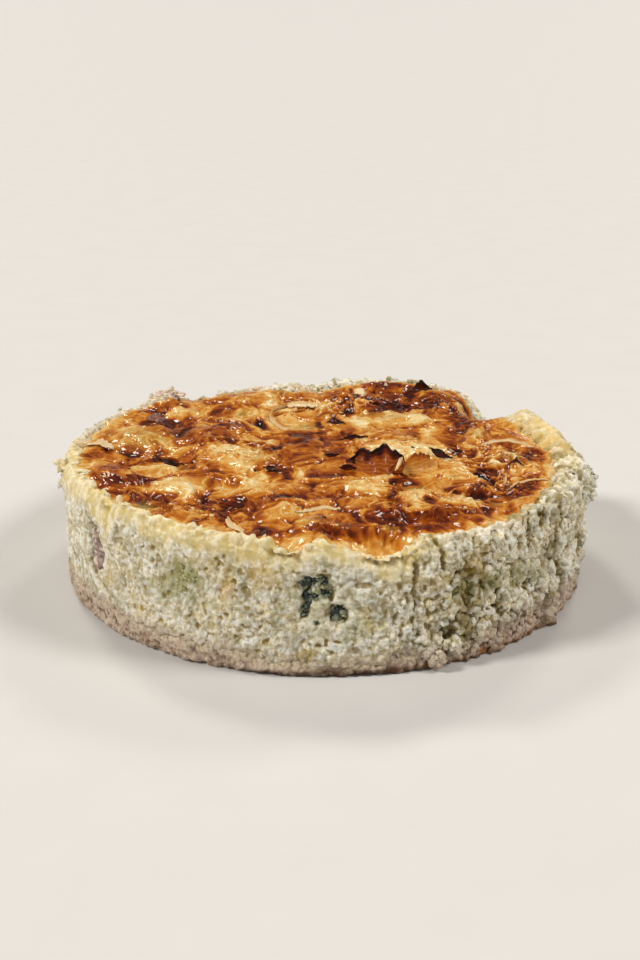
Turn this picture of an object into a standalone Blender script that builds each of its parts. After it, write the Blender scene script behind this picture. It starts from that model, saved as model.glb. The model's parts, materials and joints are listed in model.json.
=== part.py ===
"""A single-portion salmon quiche, baked in a ring and turned out whole.

A thin pressed base carries a tall wall of crumbly custard with a browned,
blistered skin.  Broccoli and salmon show in the wall, and charred leek and
onion lie in the skin.  Units are metres, +Z is up, the origin is in the middle
of the underside and the front of the quiche looks along -Y.
"""
import math

import bmesh
import bpy
from mathutils import Matrix, Vector, noise

MM = 0.001

# Driving sizes
WALL_RADIUS = 62.3 * MM
BASE_RADIUS = 62.5 * MM
BASE_HEIGHT = 4.2 * MM
GAP = 0.3 * MM
CUSTARD_BOTTOM = BASE_HEIGHT + GAP
SKIN_LEVEL = 28.0 * MM
LIP_LEVEL = 29.0 * MM
LIP_WIDTH = 3.0 * MM
CUSTARD_EDGE = 2.8 * MM
TOP_ROUNDING = 2.0 * MM

# Relief of the crumb, as heights of the noise that roughens it
SKIN_RIPPLE = 0.7 * MM
CRUMB_RELIEF = 0.9 * MM
COARSE_CRUMB = 1.5 * MM
CRUMB_DEPTH = 9.0 * MM
LIP_RAGGEDNESS = 0.6 * MM
BASE_RELIEF = 0.7 * MM
BASE_TUCK = 0.9 * MM

# Uneven rim: azimuth in degrees from +X, half width in degrees, rise in mm
RIM_SPOTS = (
    (140, 8, 3.0), (114, 16, -2.8), (88, 12, -1.0), (66, 10, 0.8), (40, 7, -7.0),
    (14, 18, 1.8), (-12, 16, 2.0), (-42, 9, 1.6), (-75, 9, -4.6), (-98, 4, -1.4),
    (-128, 8, 2.2), (-138, 3, -1.6), (-150, 9, 2.0), (180, 14, 0.8), (160, 9, -0.4),
)

# Where the lip is wider than elsewhere: azimuth, half width, extra width in mm
WIDE_LIPS = ((8, 26, 7.5), (-30, 14, 3.5), (-128, 12, 2.5), (40, 9, 8.0), (100, 14, 1.0))

# Bulges and hollows out of the round of the wall: azimuth, half width, mm
WALL_SPOTS = ((-40, 12, 0.9), (-60, 8, 0.7), (-100, 14, -0.6), (150, 20, -0.5), (40, 7, -2.4))

# Blisters and hollows of the skin: x, y, half length, half width in mm,
# turn in degrees and rise in mm
BLISTERS = (
    (-46, 11, 10, 8, 70, 2.8), (-18, -2, 10, 9, 20, 3.0), (-34, -23, 8, 5.5, 80, 2.6),
    (-39, -11, 6.5, 3.5, 10, 1.8), (6, -25, 8, 6.5, 80, 2.9), (21, -31, 6.5, 5.5, 0, 2.4),
    (20, 0, 11, 8, 15, 1.9), (-3, 21, 9, 7, 90, -1.8), (15, 28, 7, 4.5, 60, 2.4),
    (25, 23, 9, 4, 100, 2.2), (38, 16, 7, 4.5, 90, 2.1), (-39, 28, 7, 5, 120, 2.0),
    (44, -6, 8, 6, 80, 2.6), (-3, -47, 9, 5, 0, 2.2), (-40, -37, 7, 4, 140, 1.9),
    (-24, 33, 6, 5, 0, 2.0), (-10, 50, 9, 5, 10, 2.2), (20, 50, 8, 6, 20, 2.6),
    (36, 36, 7, 5, 60, 2.2), (-20, -34, 4, 3, 0, -2.8), (32, -34, 5, 3.5, 30, -2.8),
    (-15, 24, 5, 2.5, 80, -2.8), (33, 0, 5, 3, 80, -2.2), (-10, -19, 9, 3, 170, -1.8),
    (-28, 12, 9, 3, 100, -2.2), (10, 12, 9, 3, 10, -1.7), (40, -24, 8, 5, 70, -1.5),
    (-47, -24, 8, 4, 110, -1.8), (16, -49, 9, 3.5, 15, -2.2), (-25, -46, 7, 4, 150, 1.8),
    (8, -10, 4, 3, 0, 1.8), (31, -49, 6, 4, 20, 2.2), (-52, -9, 5, 3, 90, -1.2),
)

# Loose clumps baked to the wall: azimuth, height and radius in mm
CRUMB_CLUMPS = (
    (-10, 24.5, 1.8), (-14, 21.5, 1.6), (-17, 25.5, 1.2), (188, 26.5, 1.3), (-63, 10.0, 1.8),
    (-60, 14.5, 1.9), (-64, 18.0, 1.6), (-68, 6.6, 1.7), (-57, 7.5, 1.3), (-47, 9.0, 1.4),
    (-36, 19.0, 1.6), (-30, 12.0, 1.5), (-50, 22.0, 1.4), (60, 14.0, 1.6), (112, 10.0, 1.7),
    (150, 18.0, 1.5), (15, 12.0, 1.6), (-120, 8.0, 1.3), (-160, 14.0, 1.4), (85, 21.0, 1.5),
)

# Charred flecks baked into the skin: x, y, length in mm and turn in degrees
CHAR_FLECKS = (
    (26.5, -4.5, 6.5, 105), (-36.5, -6.5, 6.5, 125), (-12, -13.5, 5.0, 100),
    (44, 16, 3.5, 70), (3, 24, 4.5, 100), (8, 11, 6.0, 50), (45, -13, 4.0, 60),
)

# Leaves and strips in the skin: name, three points of the path in mm, width,
# lean from lying flat in degrees, lift over the skin, wave in mm, material
RIBBONS = (
    ("leek_leaf_charred", ((8.0, -9.0), (14.0, -15.0), (20.5, -8.5)), 9.0, 38, 1.4, 0.7, "char"),
    ("leek_leaf_amber", ((22.5, -16.5), (26.0, -10.0), (24.5, -3.5)), 6.0, 30, 0.9, 0.5, "leek"),
    ("leek_leaf_back", ((23.0, 48.0), (27.0, 51.5), (31.0, 48.0)), 4.6, 48, 0.2, 0.4, "char"),
    ("leek_ring_back", ((-8.0, 38.5), (-19.5, 30.0), (-8.5, 17.0)), 3.6, 58, 0.4, 0.3, "leek"),
    ("leek_bar_back", ((-9.5, 34.5), (-5.5, 36.5), (-1.5, 34.0)), 2.4, 25, 0.7, 0.2, "leek"),
    ("leek_strip_left", ((-60.0, -1.0), (-55.5, 2.5), (-51.0, -0.5)), 3.6, 12, 0.4, 0.3, "leek"),
    ("leek_strip_front", ((-20.5, -44.0), (-20.0, -49.5), (-16.5, -54.0)), 3.2, 20, 0.5, 0.3, "leek"),
    ("onion_arc_right", ((38.5, 3.0), (45.5, 11.5), (51.5, 1.0)), 3.0, 50, 0.3, 0.3, "leek"),
    ("onion_arc_front", ((-6.0, -41.5), (-1.0, -36.5), (3.5, -40.0)), 2.6, 40, 0.3, 0.2, "leek"),
)

# Lumps in pockets of the wall: name, azimuth, height, depth of the middle under
# the crumb's face, half sizes in mm (inwards, along the wall, up), material
WALL_INLAYS = (
    ("broccoli_front", 269.0, 17.3, 1.2, (2.1, 6.0, 6.2), "broccoli"),
    ("broccoli_left", 242.0, 19.0, 1.2, (2.0, 6.4, 5.4), "broccoli"),
    ("broccoli_right", 313.0, 17.0, 0.8, (1.6, 2.4, 2.8), "broccoli"),
    ("broccoli_scrap", 297.0, 18.0, 0.8, (1.6, 3.0, 2.0), "broccoli"),
    ("salmon_left", 216.0, 18.0, 1.1, (1.9, 4.8, 6.4), "salmon"),
)

# Lumps in pockets of the skin: name, x, y, lift of the middle over the skin,
# half sizes in mm, turn in degrees, material
TOP_INLAYS = (
    ("salmon_rim", -42.0, 43.0, -0.5, (3.4, 2.2, 1.8), 140, "salmon"),
    ("salmon_top", -43.8, 26.0, 0.2, (5.0, 2.6, 1.6), 100, "salmon"),
    ("onion_back", 10.2, 46.6, 0.3, (3.6, 2.0, 1.4), 80, "leek"),
)

RIBBON_STEPS = (8, 3)
LEAF_THICKNESS = 0.8 * MM
INLAY_RELIEF = 0.5 * MM
BEADED_FACE = 32.0
BASE_SEGMENTS = 126

# Colours and surface values of the materials
CUSTARD = ((0.72, 0.60, 0.36), 0.62)
PASTRY = ((0.34, 0.24, 0.15), 0.85)
BROCCOLI = ((0.05, 0.09, 0.03), 0.60)
SALMON = ((0.42, 0.22, 0.18), 0.55)
LEEK = ((0.70, 0.58, 0.40), 0.45)
CHAR = ((0.05, 0.02, 0.012), 0.50)


def clear_scene():
    for item in list(bpy.data.objects):
        bpy.data.objects.remove(item, do_unlink=True)


def make_collection(name):
    group = bpy.data.collections.new(name)
    bpy.context.scene.collection.children.link(group)
    return group


def make_material(name, finish):
    colour, roughness = finish
    material = bpy.data.materials.new(name)
    material.use_nodes = True
    shader = material.node_tree.nodes["Principled BSDF"]
    shader.inputs["Base Color"].default_value = (*colour, 1.0)
    shader.inputs["Roughness"].default_value = roughness
    shader.inputs["Metallic"].default_value = 0.0
    return material


def new_object(name, mesh, group, material=None):
    item = bpy.data.objects.new(name, mesh)
    group.objects.link(item)
    if material is not None:
        mesh.materials.append(material)
    return item


def mesh_from(build):
    """Run build on an empty bmesh and return the mesh that it leaves."""
    mesh = bpy.data.meshes.new("piece")
    shape = bmesh.new()
    build(shape)
    shape.to_mesh(mesh)
    shape.free()
    return mesh


def bake_modifiers(item):
    """Replace the object's mesh by its evaluated one and drop the modifiers."""
    bpy.context.view_layer.update()
    evaluated = item.evaluated_get(bpy.context.evaluated_depsgraph_get())
    mesh = bpy.data.meshes.new_from_object(evaluated)
    item.modifiers.clear()
    item.data = mesh


def hide_cutter(item):
    item.hide_render = True
    item.display_type = "WIRE"


def smooth_step(value, low, high):
    share = min(max((value - low) / (high - low), 0.0), 1.0)
    return share * share * (3.0 - 2.0 * share)


def bell(distance):
    """Fall from 1 in the middle to 0 at a distance of about 1.5."""
    return math.exp(-2.0 * distance * distance)


def angle_between(first, second):
    return abs((first - second + 180.0) % 360.0 - 180.0)


def spots_at(azimuth, spots):
    return sum(amount * MM * bell(angle_between(azimuth, middle) / (1.4 * half))
               for middle, half, amount in spots)


def rough(x, y, z, size, seed):
    """Smooth noise of about -1 to 1 whose lumps are as large as size."""
    return 1.6 * noise.noise(Vector((x / size + seed, y / size - seed, z / size + 3.0 * seed)))


def blister_height(x, y):
    height = 0.0
    for middle_x, middle_y, along, across, turn, rise in BLISTERS:
        dx = x / MM - middle_x
        dy = y / MM - middle_y
        if abs(dx) > 2.0 * along or abs(dy) > 2.0 * along:
            continue
        c, s = math.cos(math.radians(turn)), math.sin(math.radians(turn))
        height += rise * MM * bell(math.hypot((dx * c + dy * s) / along, (dy * c - dx * s) / across))
    return height


def skin_height(x, y):
    ripple = SKIN_RIPPLE * (rough(x, y, 0.0, 7.0 * MM, 11.0) + 0.5 * rough(x, y, 0.0, 3.6 * MM, 5.0))
    return SKIN_LEVEL + blister_height(x, y) + ripple


def top_height(x, y):
    """Height of the skin, rising to the torn lip near the wall."""
    radius = math.hypot(x, y)
    azimuth = math.degrees(math.atan2(y, x))
    lip = LIP_LEVEL + spots_at(azimuth, RIM_SPOTS) + LIP_RAGGEDNESS * rough(x, y, 0.0, 3.0 * MM, 23.0)
    skin_edge = WALL_RADIUS - LIP_WIDTH - spots_at(azimuth, WIDE_LIPS)
    share = smooth_step(radius, skin_edge - 2.0 * MM, skin_edge + 2.5 * MM)
    return skin_height(x, y) * (1.0 - share) + lip * share


def wall_offset(x, y, z):
    """How far the crumb stands out of the true round of the wall."""
    azimuth = math.degrees(math.atan2(y, x))
    coarse = smooth_step(angle_between(azimuth, -40.0), 60.0, 25.0)
    relief = CRUMB_RELIEF + (COARSE_CRUMB - CRUMB_RELIEF) * coarse
    crumb = 0.6 * rough(x, y, z, 5.0 * MM, 7.0) + 0.5 * rough(x, y, z, 2.6 * MM, 17.0)
    return relief * crumb + spots_at(azimuth, WALL_SPOTS)


def shape_custard(point):
    """Move a point of the plain drum to its place on the baked custard."""
    radius = math.hypot(point.x, point.y)
    stretch = top_height(point.x, point.y) / SKIN_LEVEL
    share = smooth_step(radius, WALL_RADIUS - CRUMB_DEPTH, WALL_RADIUS - 1.0 * MM)
    scale = 1.0
    if radius > 0.0:
        scale += share * wall_offset(point.x, point.y, point.z) / radius
    return Vector((point.x * scale, point.y * scale, point.z * stretch))


def cut_flat_below(shape, height):
    everything = shape.verts[:] + shape.edges[:] + shape.faces[:]
    bmesh.ops.bisect_plane(shape, geom=everything, dist=1e-6, plane_co=(0.0, 0.0, height),
                           plane_no=(0.0, 0.0, 1.0), clear_inner=True)
    rim = [edge for edge in shape.edges if edge.is_boundary]
    bmesh.ops.contextual_create(shape, geom=rim)
    bmesh.ops.recalc_face_normals(shape, faces=shape.faces)


def custard_drum(group, material):
    """An even mesh of the plain drum, then moved to the baked form."""
    drum = mesh_from(lambda shape: bmesh.ops.create_cone(
        shape, cap_ends=True, segments=160, radius1=WALL_RADIUS, radius2=WALL_RADIUS,
        depth=2.0 * SKIN_LEVEL))
    item = new_object("custard", drum, group, material)
    bevel = item.modifiers.new("rounded top edge", "BEVEL")
    bevel.width = TOP_ROUNDING
    bevel.segments = 3
    remesh = item.modifiers.new("even mesh", "REMESH")
    remesh.mode = "VOXEL"
    remesh.voxel_size = CUSTARD_EDGE
    bake_modifiers(item)
    shape = bmesh.new()
    shape.from_mesh(item.data)
    for vertex in shape.verts:
        vertex.co = shape_custard(vertex.co)
    cut_flat_below(shape, CUSTARD_BOTTOM)
    shape.to_mesh(item.data)
    shape.free()
    return item


def lump(name, place, sizes, turn, group, relief=0.0, grain=2.0 * MM, seed=1.0, detail=2):
    """A rough, rounded lump with the given half sizes, turned about Z."""
    mesh = mesh_from(lambda shape: bmesh.ops.create_icosphere(shape, subdivisions=detail, radius=1.0))
    for vertex in mesh.vertices:
        point = Vector((vertex.co.x * sizes[0], vertex.co.y * sizes[1], vertex.co.z * sizes[2]))
        dent = relief * (0.5 + 0.5 * rough(*point, grain, seed))
        vertex.co = point * (1.0 - min(max(dent, 0.0) / point.length, 0.6))
    mesh.transform(Matrix.Translation(place) @ Matrix.Rotation(turn, 4, "Z"))
    return new_object(name, mesh, group)


def on_wall(azimuth, height, radius):
    angle = math.radians(azimuth)
    return Vector((radius * math.cos(angle), radius * math.sin(angle), height))


def add_clumps(group):
    for index, (azimuth, height, size) in enumerate(CRUMB_CLUMPS):
        place = on_wall(azimuth, height * MM, WALL_RADIUS + 0.2 * MM)
        radius = size * MM
        lump(f"clump_{index}", place, (radius, radius * 1.2, radius * 0.9), math.radians(azimuth),
             group, relief=0.4 * MM, seed=index + 2.0, detail=1)


def add_flecks(group):
    for index, (x, y, length, turn) in enumerate(CHAR_FLECKS):
        place = Vector((x * MM, y * MM, top_height(x * MM, y * MM) + 0.3 * MM))
        lump(f"fleck_{index}", place, (0.5 * length * MM, 0.9 * MM, 1.1 * MM),
             math.radians(turn), group, relief=0.3 * MM, seed=index + 40.0, detail=1)


def boolean_with(item, operation, group, label):
    cut = item.modifiers.new(label, "BOOLEAN")
    cut.operation = operation
    cut.operand_type = "COLLECTION"
    cut.collection = group
    cut.solver = "EXACT"


def connected_to(start):
    """All points joined to start by edges."""
    found = {start}
    front = [start]
    while front:
        for edge in front.pop().link_edges:
            for vertex in edge.verts:
                if vertex not in found:
                    found.add(vertex)
                    front.append(vertex)
    return found


def keep_largest_body(mesh):
    """Drop scraps that a cut left loose."""
    shape = bmesh.new()
    shape.from_mesh(mesh)
    bodies = []
    waiting = set(shape.verts)
    while waiting:
        body = connected_to(next(iter(waiting)))
        bodies.append(body)
        waiting -= body
    bodies.sort(key=len)
    scraps = [vertex for body in bodies[:-1] for vertex in body]
    bmesh.ops.delete(shape, geom=scraps, context="VERTS")
    shape.to_mesh(mesh)
    shape.free()


def along_path(points, share):
    """Point on the bend through the first and last points, pulled by the middle one."""
    first, middle, last = (Vector(point) for point in points)
    rest = 1.0 - share
    return first * rest * rest + middle * 2.0 * share * rest + last * share * share


def ribbon_point(ribbon, share, across, grow):
    """Place of a point of a ribbon: share runs along it and across from -1 to 1."""
    _, points, width, lean, lift, wave, _ = ribbon
    length = (Vector(points[2]) - Vector(points[0])).length * MM
    share = 0.5 + (share - 0.5) * (1.0 + 2.0 * grow / length)
    place = along_path(points, share) * MM
    ahead = along_path(points, share + 0.05) * MM - place
    side = Vector((-ahead.y, ahead.x)).normalized()
    inner = min(max(share, 0.0), 1.0)
    half = 0.5 * width * MM * (0.45 + 0.55 * math.sin(math.pi * inner) ** 0.6) + grow
    reach = half * across
    turn = math.radians(lean)
    swell = wave * MM * math.sin(2.2 * math.pi * share + 1.7 * across)
    cup = 0.25 * half * across * across
    x = place.x + side.x * (reach * math.cos(turn) - (swell + cup) * math.sin(turn))
    y = place.y + side.y * (reach * math.cos(turn) - (swell + cup) * math.sin(turn))
    rise = reach * math.sin(turn) + (swell + cup) * math.cos(turn)
    return Vector((x, y, top_height(place.x, place.y) + lift * MM + rise))


def add_ribbon(ribbon, name, group, material, grow=0.0):
    """A thin wavy leaf or strip whose two faces have the same triangles."""
    steps_along, steps_across = RIBBON_STEPS
    mesh = mesh_from(lambda shape: bmesh.ops.create_grid(
        shape, x_segments=steps_along, y_segments=steps_across, size=1.0))
    for vertex in mesh.vertices:
        vertex.co = ribbon_point(ribbon, 0.5 + 0.5 * vertex.co.x, vertex.co.y, grow)
    item = new_object(name, mesh, group, material)
    item.modifiers.new("triangles", "TRIANGULATE")
    solidify = item.modifiers.new("leaf thickness", "SOLIDIFY")
    solidify.thickness = LEAF_THICKNESS + 2.0 * grow
    solidify.offset = 0.0
    bake_modifiers(item)
    return item


def add_inlay(name, place, sizes, turn, group, material, grow=0.0):
    """A lump that sits in a pocket; its own dents only go inwards."""
    half = [size * MM + grow for size in sizes]
    relief = 0.0 if grow > 0.0 else INLAY_RELIEF
    beaded = grow == 0.0 and sizes[1] * sizes[2] > BEADED_FACE
    detail = 3 if beaded else 2
    item = lump(name, place, half, math.radians(turn), group, relief=relief, detail=detail)
    if material is not None:
        item.data.materials.append(material)
    return item


def add_inlay_and_pocket(name, place, sizes, turn, model, pockets, material):
    add_inlay(name, place, sizes, turn, model, material)
    hide_cutter(add_inlay("pocket_" + name, place, sizes, turn, pockets, None, grow=GAP))


def wall_face(azimuth, height, depth):
    """The point at the given depth under the crumb's outer face."""
    point = on_wall(azimuth, height, WALL_RADIUS)
    return on_wall(azimuth, height, WALL_RADIUS + wall_offset(*point) - depth)


def skin_face(x, y, lift):
    return Vector((x, y, top_height(x, y) + lift))


def add_base(group, material):
    """The pressed base: flat above and below, with a gritty edge."""
    mesh = mesh_from(base_shape)
    return new_object("pastry_base", mesh, group, material)


def base_shape(shape):
    bmesh.ops.create_cone(shape, cap_ends=True, segments=BASE_SEGMENTS, radius1=BASE_RADIUS,
                          radius2=BASE_RADIUS, depth=BASE_HEIGHT,
                          matrix=Matrix.Translation((0.0, 0.0, 0.5 * BASE_HEIGHT)))
    upright = [edge for edge in shape.edges
               if abs(edge.verts[0].co.z - edge.verts[1].co.z) > 0.5 * BASE_HEIGHT]
    bmesh.ops.subdivide_edges(shape, edges=upright, cuts=2)
    for vertex in shape.verts:
        x, y, z = vertex.co
        tuck = BASE_TUCK * smooth_step(z, 0.4 * BASE_HEIGHT, 0.0)
        grit = BASE_RELIEF * rough(x, y, z, 3.0 * MM, 31.0)
        scale = 1.0 + (grit - tuck) / math.hypot(x, y)
        vertex.co = Vector((x * scale, y * scale, z))


def main():
    clear_scene()
    model = make_collection("salmon_quiche")
    fused = make_collection("fused crumbs")
    pockets = make_collection("pockets")
    materials = {
        "custard": make_material("baked custard", CUSTARD),
        "pastry": make_material("pressed pastry", PASTRY),
        "broccoli": make_material("broccoli", BROCCOLI),
        "salmon": make_material("salmon", SALMON),
        "leek": make_material("leek", LEEK),
        "char": make_material("charred leek", CHAR),
    }
    custard = custard_drum(model, materials["custard"])
    add_clumps(fused)
    add_flecks(fused)
    boolean_with(custard, "UNION", fused, "fused crumbs")
    bake_modifiers(custard)
    for item in list(fused.objects):
        bpy.data.objects.remove(item, do_unlink=True)
    for ribbon in RIBBONS:
        add_ribbon(ribbon, ribbon[0], model, materials[ribbon[-1]])
        hide_cutter(add_ribbon(ribbon, "pocket_" + ribbon[0], pockets, None, grow=GAP))
    for name, azimuth, height, depth, sizes, finish in WALL_INLAYS:
        place = wall_face(azimuth, height * MM, depth * MM)
        add_inlay_and_pocket(name, place, sizes, azimuth, model, pockets, materials[finish])
    for name, x, y, lift, sizes, turn, finish in TOP_INLAYS:
        place = skin_face(x * MM, y * MM, lift * MM)
        add_inlay_and_pocket(name, place, sizes, turn, model, pockets, materials[finish])
    boolean_with(custard, "DIFFERENCE", pockets, "pockets")
    bake_modifiers(custard)
    keep_largest_body(custard.data)
    add_base(model, materials["pastry"])


main()
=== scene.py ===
# %% [markdown]
# A small salmon quiche, turned out of its baking ring. A thin pressed base
# carries a tall wall of curdled custard. A browned, blistered skin lies on it,
# with charred leek and onion baked in, and broccoli and salmon show in the wall.
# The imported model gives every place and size. This lesson dresses it: each
# plain solid is replaced by a detailed mesh of the same form and given a finish.

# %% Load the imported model
import json
import math

import bpy
import numpy as np
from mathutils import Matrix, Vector, kdtree

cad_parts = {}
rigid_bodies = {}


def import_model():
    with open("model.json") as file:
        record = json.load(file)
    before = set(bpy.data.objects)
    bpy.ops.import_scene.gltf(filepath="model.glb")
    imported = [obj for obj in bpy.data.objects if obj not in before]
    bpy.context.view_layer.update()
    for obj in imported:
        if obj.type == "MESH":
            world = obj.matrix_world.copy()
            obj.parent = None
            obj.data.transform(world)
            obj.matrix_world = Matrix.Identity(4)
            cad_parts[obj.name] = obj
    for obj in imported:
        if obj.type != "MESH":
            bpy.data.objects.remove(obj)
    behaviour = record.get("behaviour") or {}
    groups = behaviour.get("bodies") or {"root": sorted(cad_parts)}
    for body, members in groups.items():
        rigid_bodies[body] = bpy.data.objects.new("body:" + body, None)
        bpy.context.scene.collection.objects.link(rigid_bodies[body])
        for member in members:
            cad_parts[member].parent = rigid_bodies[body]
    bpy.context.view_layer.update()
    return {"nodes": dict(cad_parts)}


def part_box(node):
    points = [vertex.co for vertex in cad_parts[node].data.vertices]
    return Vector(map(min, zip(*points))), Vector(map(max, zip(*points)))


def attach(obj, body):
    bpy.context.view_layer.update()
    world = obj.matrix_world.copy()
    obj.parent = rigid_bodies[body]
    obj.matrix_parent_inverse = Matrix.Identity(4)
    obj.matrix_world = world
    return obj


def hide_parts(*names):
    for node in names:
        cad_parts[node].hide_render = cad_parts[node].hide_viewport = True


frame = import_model()
print("nodes:", sorted(frame["nodes"]))

# %% [markdown]
# A food is uneven, so every surface here follows a few named sizes and some
# seeded noise. The sizes are the solid model's own: the wall's radius, the
# level of the skin, and two tables read round the rim, for the height of the
# torn lip and for the place where the browned skin ends.

# %% Sizes of the quiche
MM = 0.001
TAU = 2.0 * math.pi
WALL_RADIUS = 62.3 * MM
BASE_RADIUS = 62.5 * MM
BASE_HEIGHT = 4.2 * MM
SKIN_LEVEL = 28.0 * MM
SHOULDER = 2.6 * MM

# Height of the torn rim: azimuth in degrees from +X, height in mm
RIM = (
    (-180, 29.6), (-168, 29.6), (-155, 30.1), (-149, 31.2), (-145, 31.0), (-140, 29.2), (-135, 31.4),
    (-129, 30.9), (-124, 30.3), (-114, 30.2), (-106, 29.8), (-102, 29.6), (-99, 27.8), (-96, 28.0),
    (-92, 29.4), (-88, 29.2), (-83, 26.8), (-79, 25.6), (-76, 25.8), (-71, 28.4), (-60, 29.0), (-48, 29.1),
    (-41, 30.6), (-36, 30.5), (-25, 30.0), (-12, 29.6), (2, 28.8), (12, 28.6), (20, 29.2), (26, 29.8),
    (31, 28.0), (36, 23.6), (40, 22.2), (43, 23.6), (47, 27.0), (50, 28.4), (56, 29.0), (64, 29.3),
    (75, 29.1), (84, 28.5), (92, 27.4), (107, 27.2), (121, 26.5), (127, 26.6), (132, 28.4), (137, 29.8),
    (141, 29.6), (145, 29.0), (158, 29.2), (170, 29.4), (180, 29.6),
)
# Where the browned skin ends: azimuth, radius in mm
SKIN_EDGE = (
    (-180, 58.5), (-166, 59.3), (-154, 58.4), (-145, 59.2), (-137, 60.4), (-130, 60.0), (-122, 59.6),
    (-118, 59.0), (-110, 60.4), (-106, 59.6), (-102, 58.8), (-99, 61.0), (-96, 61.2), (-93, 60.2),
    (-89, 59.2), (-85, 59.2), (-82, 59.8), (-79, 60.4), (-76, 60.7), (-73, 60.2), (-70, 58.0), (-68, 59.4),
    (-65, 60.2), (-60, 59.1), (-52, 60.0), (-45, 59.6), (-38, 58.4), (-31, 57.2), (-21, 56.0), (-4, 54.2),
    (4, 53.3), (17, 53.0), (32, 52.5), (41, 54.6), (47, 57.6), (54, 59.6), (60, 59.2), (70, 59.4),
    (78, 58.6), (82, 55.6), (88, 54.2), (94, 53.6), (100, 54.4), (106, 58.6), (120, 60.0), (131, 59.2),
    (138, 57.0), (142, 58.2), (154, 59.4), (165, 58.7), (180, 58.5),
)
# Bulges and hollows of the wall: azimuth, half width, mm
WALL_SPOTS = ((-40, 12, 0.9), (-60, 8, 0.7), (-100, 14, -0.6), (150, 20, -0.5), (40, 7, -2.4))
# How high the base shows under the custard: azimuth, half width, mm
SEAM_SPOTS = (
    (-140, 20, 1.8), (-113, 5, 0.8), (-88, 14, -2.6), (-66, 3, -1.0), (-38, 20, 3.2), (-61, 3, -3.2),
)
# Azimuth and reach in degrees of the smooth cream shoulder, of the yellow lobe and of
# the swell in it, and the azimuth where the lip dips deepest
SHOULDER_PLACE = (-52.0, 28.0)
LOBE_PLACE = (8.0, 28.0)
LOBE_SWELL = (16.0, 20.0)
DIP_AZIMUTH = -77.0
print("points round the rim:", len(RIM), "and round the skin:", len(SKIN_EDGE))


# %% [markdown]
# A few helpers carry the whole form: smooth random lumps of any size, a soft
# bell, a smooth step, and spots round the rim. They work on whole lists of
# points at once, which keeps a fine mesh quick to shape.

# %% Helpers for uneven forms
def soft_noise(points, size, seed):
    """Smooth random lumps of the given size: one value of -1 to 1 a point."""
    cells = 32
    table = np.random.default_rng(seed).uniform(-1.0, 1.0, (cells,) * 3)
    place = np.asarray(points) / size + 7.3
    corner = np.floor(place).astype(int)
    share = place - corner
    share = share * share * (3.0 - 2.0 * share)
    value = np.zeros(len(place))
    for step in np.ndindex(2, 2, 2):
        weight = np.prod(np.where(step, share, 1.0 - share), axis=1)
        index = (corner + step) % cells
        value += weight * table[index[:, 0], index[:, 1], index[:, 2]]
    return value


def layers(points, *parts):
    """Sum of several noises, each given as its amount, its size in mm and its seed."""
    return sum(amount * soft_noise(points, size * MM, seed) for amount, size, seed in parts)


def bell(distance):
    return np.exp(-2.0 * distance * distance)


def smooth_step(value, low, high):
    share = np.clip((value - low) / (high - low), 0.0, 1.0)
    return share * share * (3.0 - 2.0 * share)


def angle_between(azimuth, middle):
    return np.abs((azimuth - middle + 180.0) % 360.0 - 180.0)


def near(azimuth, middle, reach):
    """1 at one azimuth, fading on both sides of it."""
    return bell(angle_between(azimuth, middle) / reach)


def within(azimuth, middle, outer, inner):
    """1 up to the inner angle from one azimuth, 0 past the outer angle."""
    return smooth_step(angle_between(azimuth, middle), outer, inner)


def spots_at(azimuth, spots):
    total = np.zeros(len(azimuth))
    for middle, half, amount in spots:
        total += amount * MM * near(azimuth, middle, 1.4 * half)
    return total


def table_at(azimuth, table):
    """Read one of the tables round the rim, in metres."""
    turns, values = np.array(table, dtype=float).T
    return np.interp((azimuth + 180.0) % 360.0 - 180.0, turns, values) * MM


def around(azimuth):
    """Points on a circle of radius 1, so that noise along the rim closes on itself."""
    angle = np.radians(azimuth)
    return np.column_stack([np.cos(angle), np.sin(angle), 0.0 * angle])


def azimuth_of(points):
    return np.degrees(np.arctan2(points[:, 1], points[:, 0]))


def radius_of(points):
    return np.hypot(points[:, 0], points[:, 1])


def flat_points(x, y):
    return np.column_stack([x, y, 0.0 * x])


# %% [markdown]
# Blender's operators act on what is selected, so each new piece starts from a
# clean selection. These helpers add a primitive, run modifiers on it, and move
# or read all its points together. A point attribute stores a value, such as how
# brown the skin is, for the material to read later.

# %% Helpers for meshes
def deselect_all():
    if bpy.context.object and bpy.context.object.mode != "OBJECT":
        bpy.ops.object.mode_set(mode="OBJECT")
    bpy.ops.object.select_all(action="DESELECT")


def activate(piece):
    deselect_all()
    piece.select_set(True)
    bpy.context.view_layer.objects.active = piece


def added(name):
    piece = bpy.context.object
    piece.name = name
    bpy.ops.object.transform_apply(location=True, rotation=True, scale=True)
    return piece


def run_modifier(piece, kind, **settings):
    activate(piece)
    modifier = piece.modifiers.new(kind.lower(), kind)
    for key, value in settings.items():
        setattr(modifier, key, value)
    bpy.ops.object.modifier_apply(modifier=modifier.name)


def points_of(piece):
    values = np.empty(len(piece.data.vertices) * 3)
    piece.data.vertices.foreach_get("co", values)
    return values.reshape(-1, 3)


def move_points(piece, points):
    piece.data.vertices.foreach_set("co", np.asarray(points, dtype=np.float32).ravel())
    piece.data.update()


def normals_of(piece):
    values = np.empty(len(piece.data.vertices) * 3)
    piece.data.vertex_normals.foreach_get("vector", values)
    return values.reshape(-1, 3)


def store(piece, name, values):
    layer = piece.data.attributes.new(name, "FLOAT", "POINT")
    layer.data.foreach_set("value", np.asarray(values, dtype=np.float32))


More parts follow.
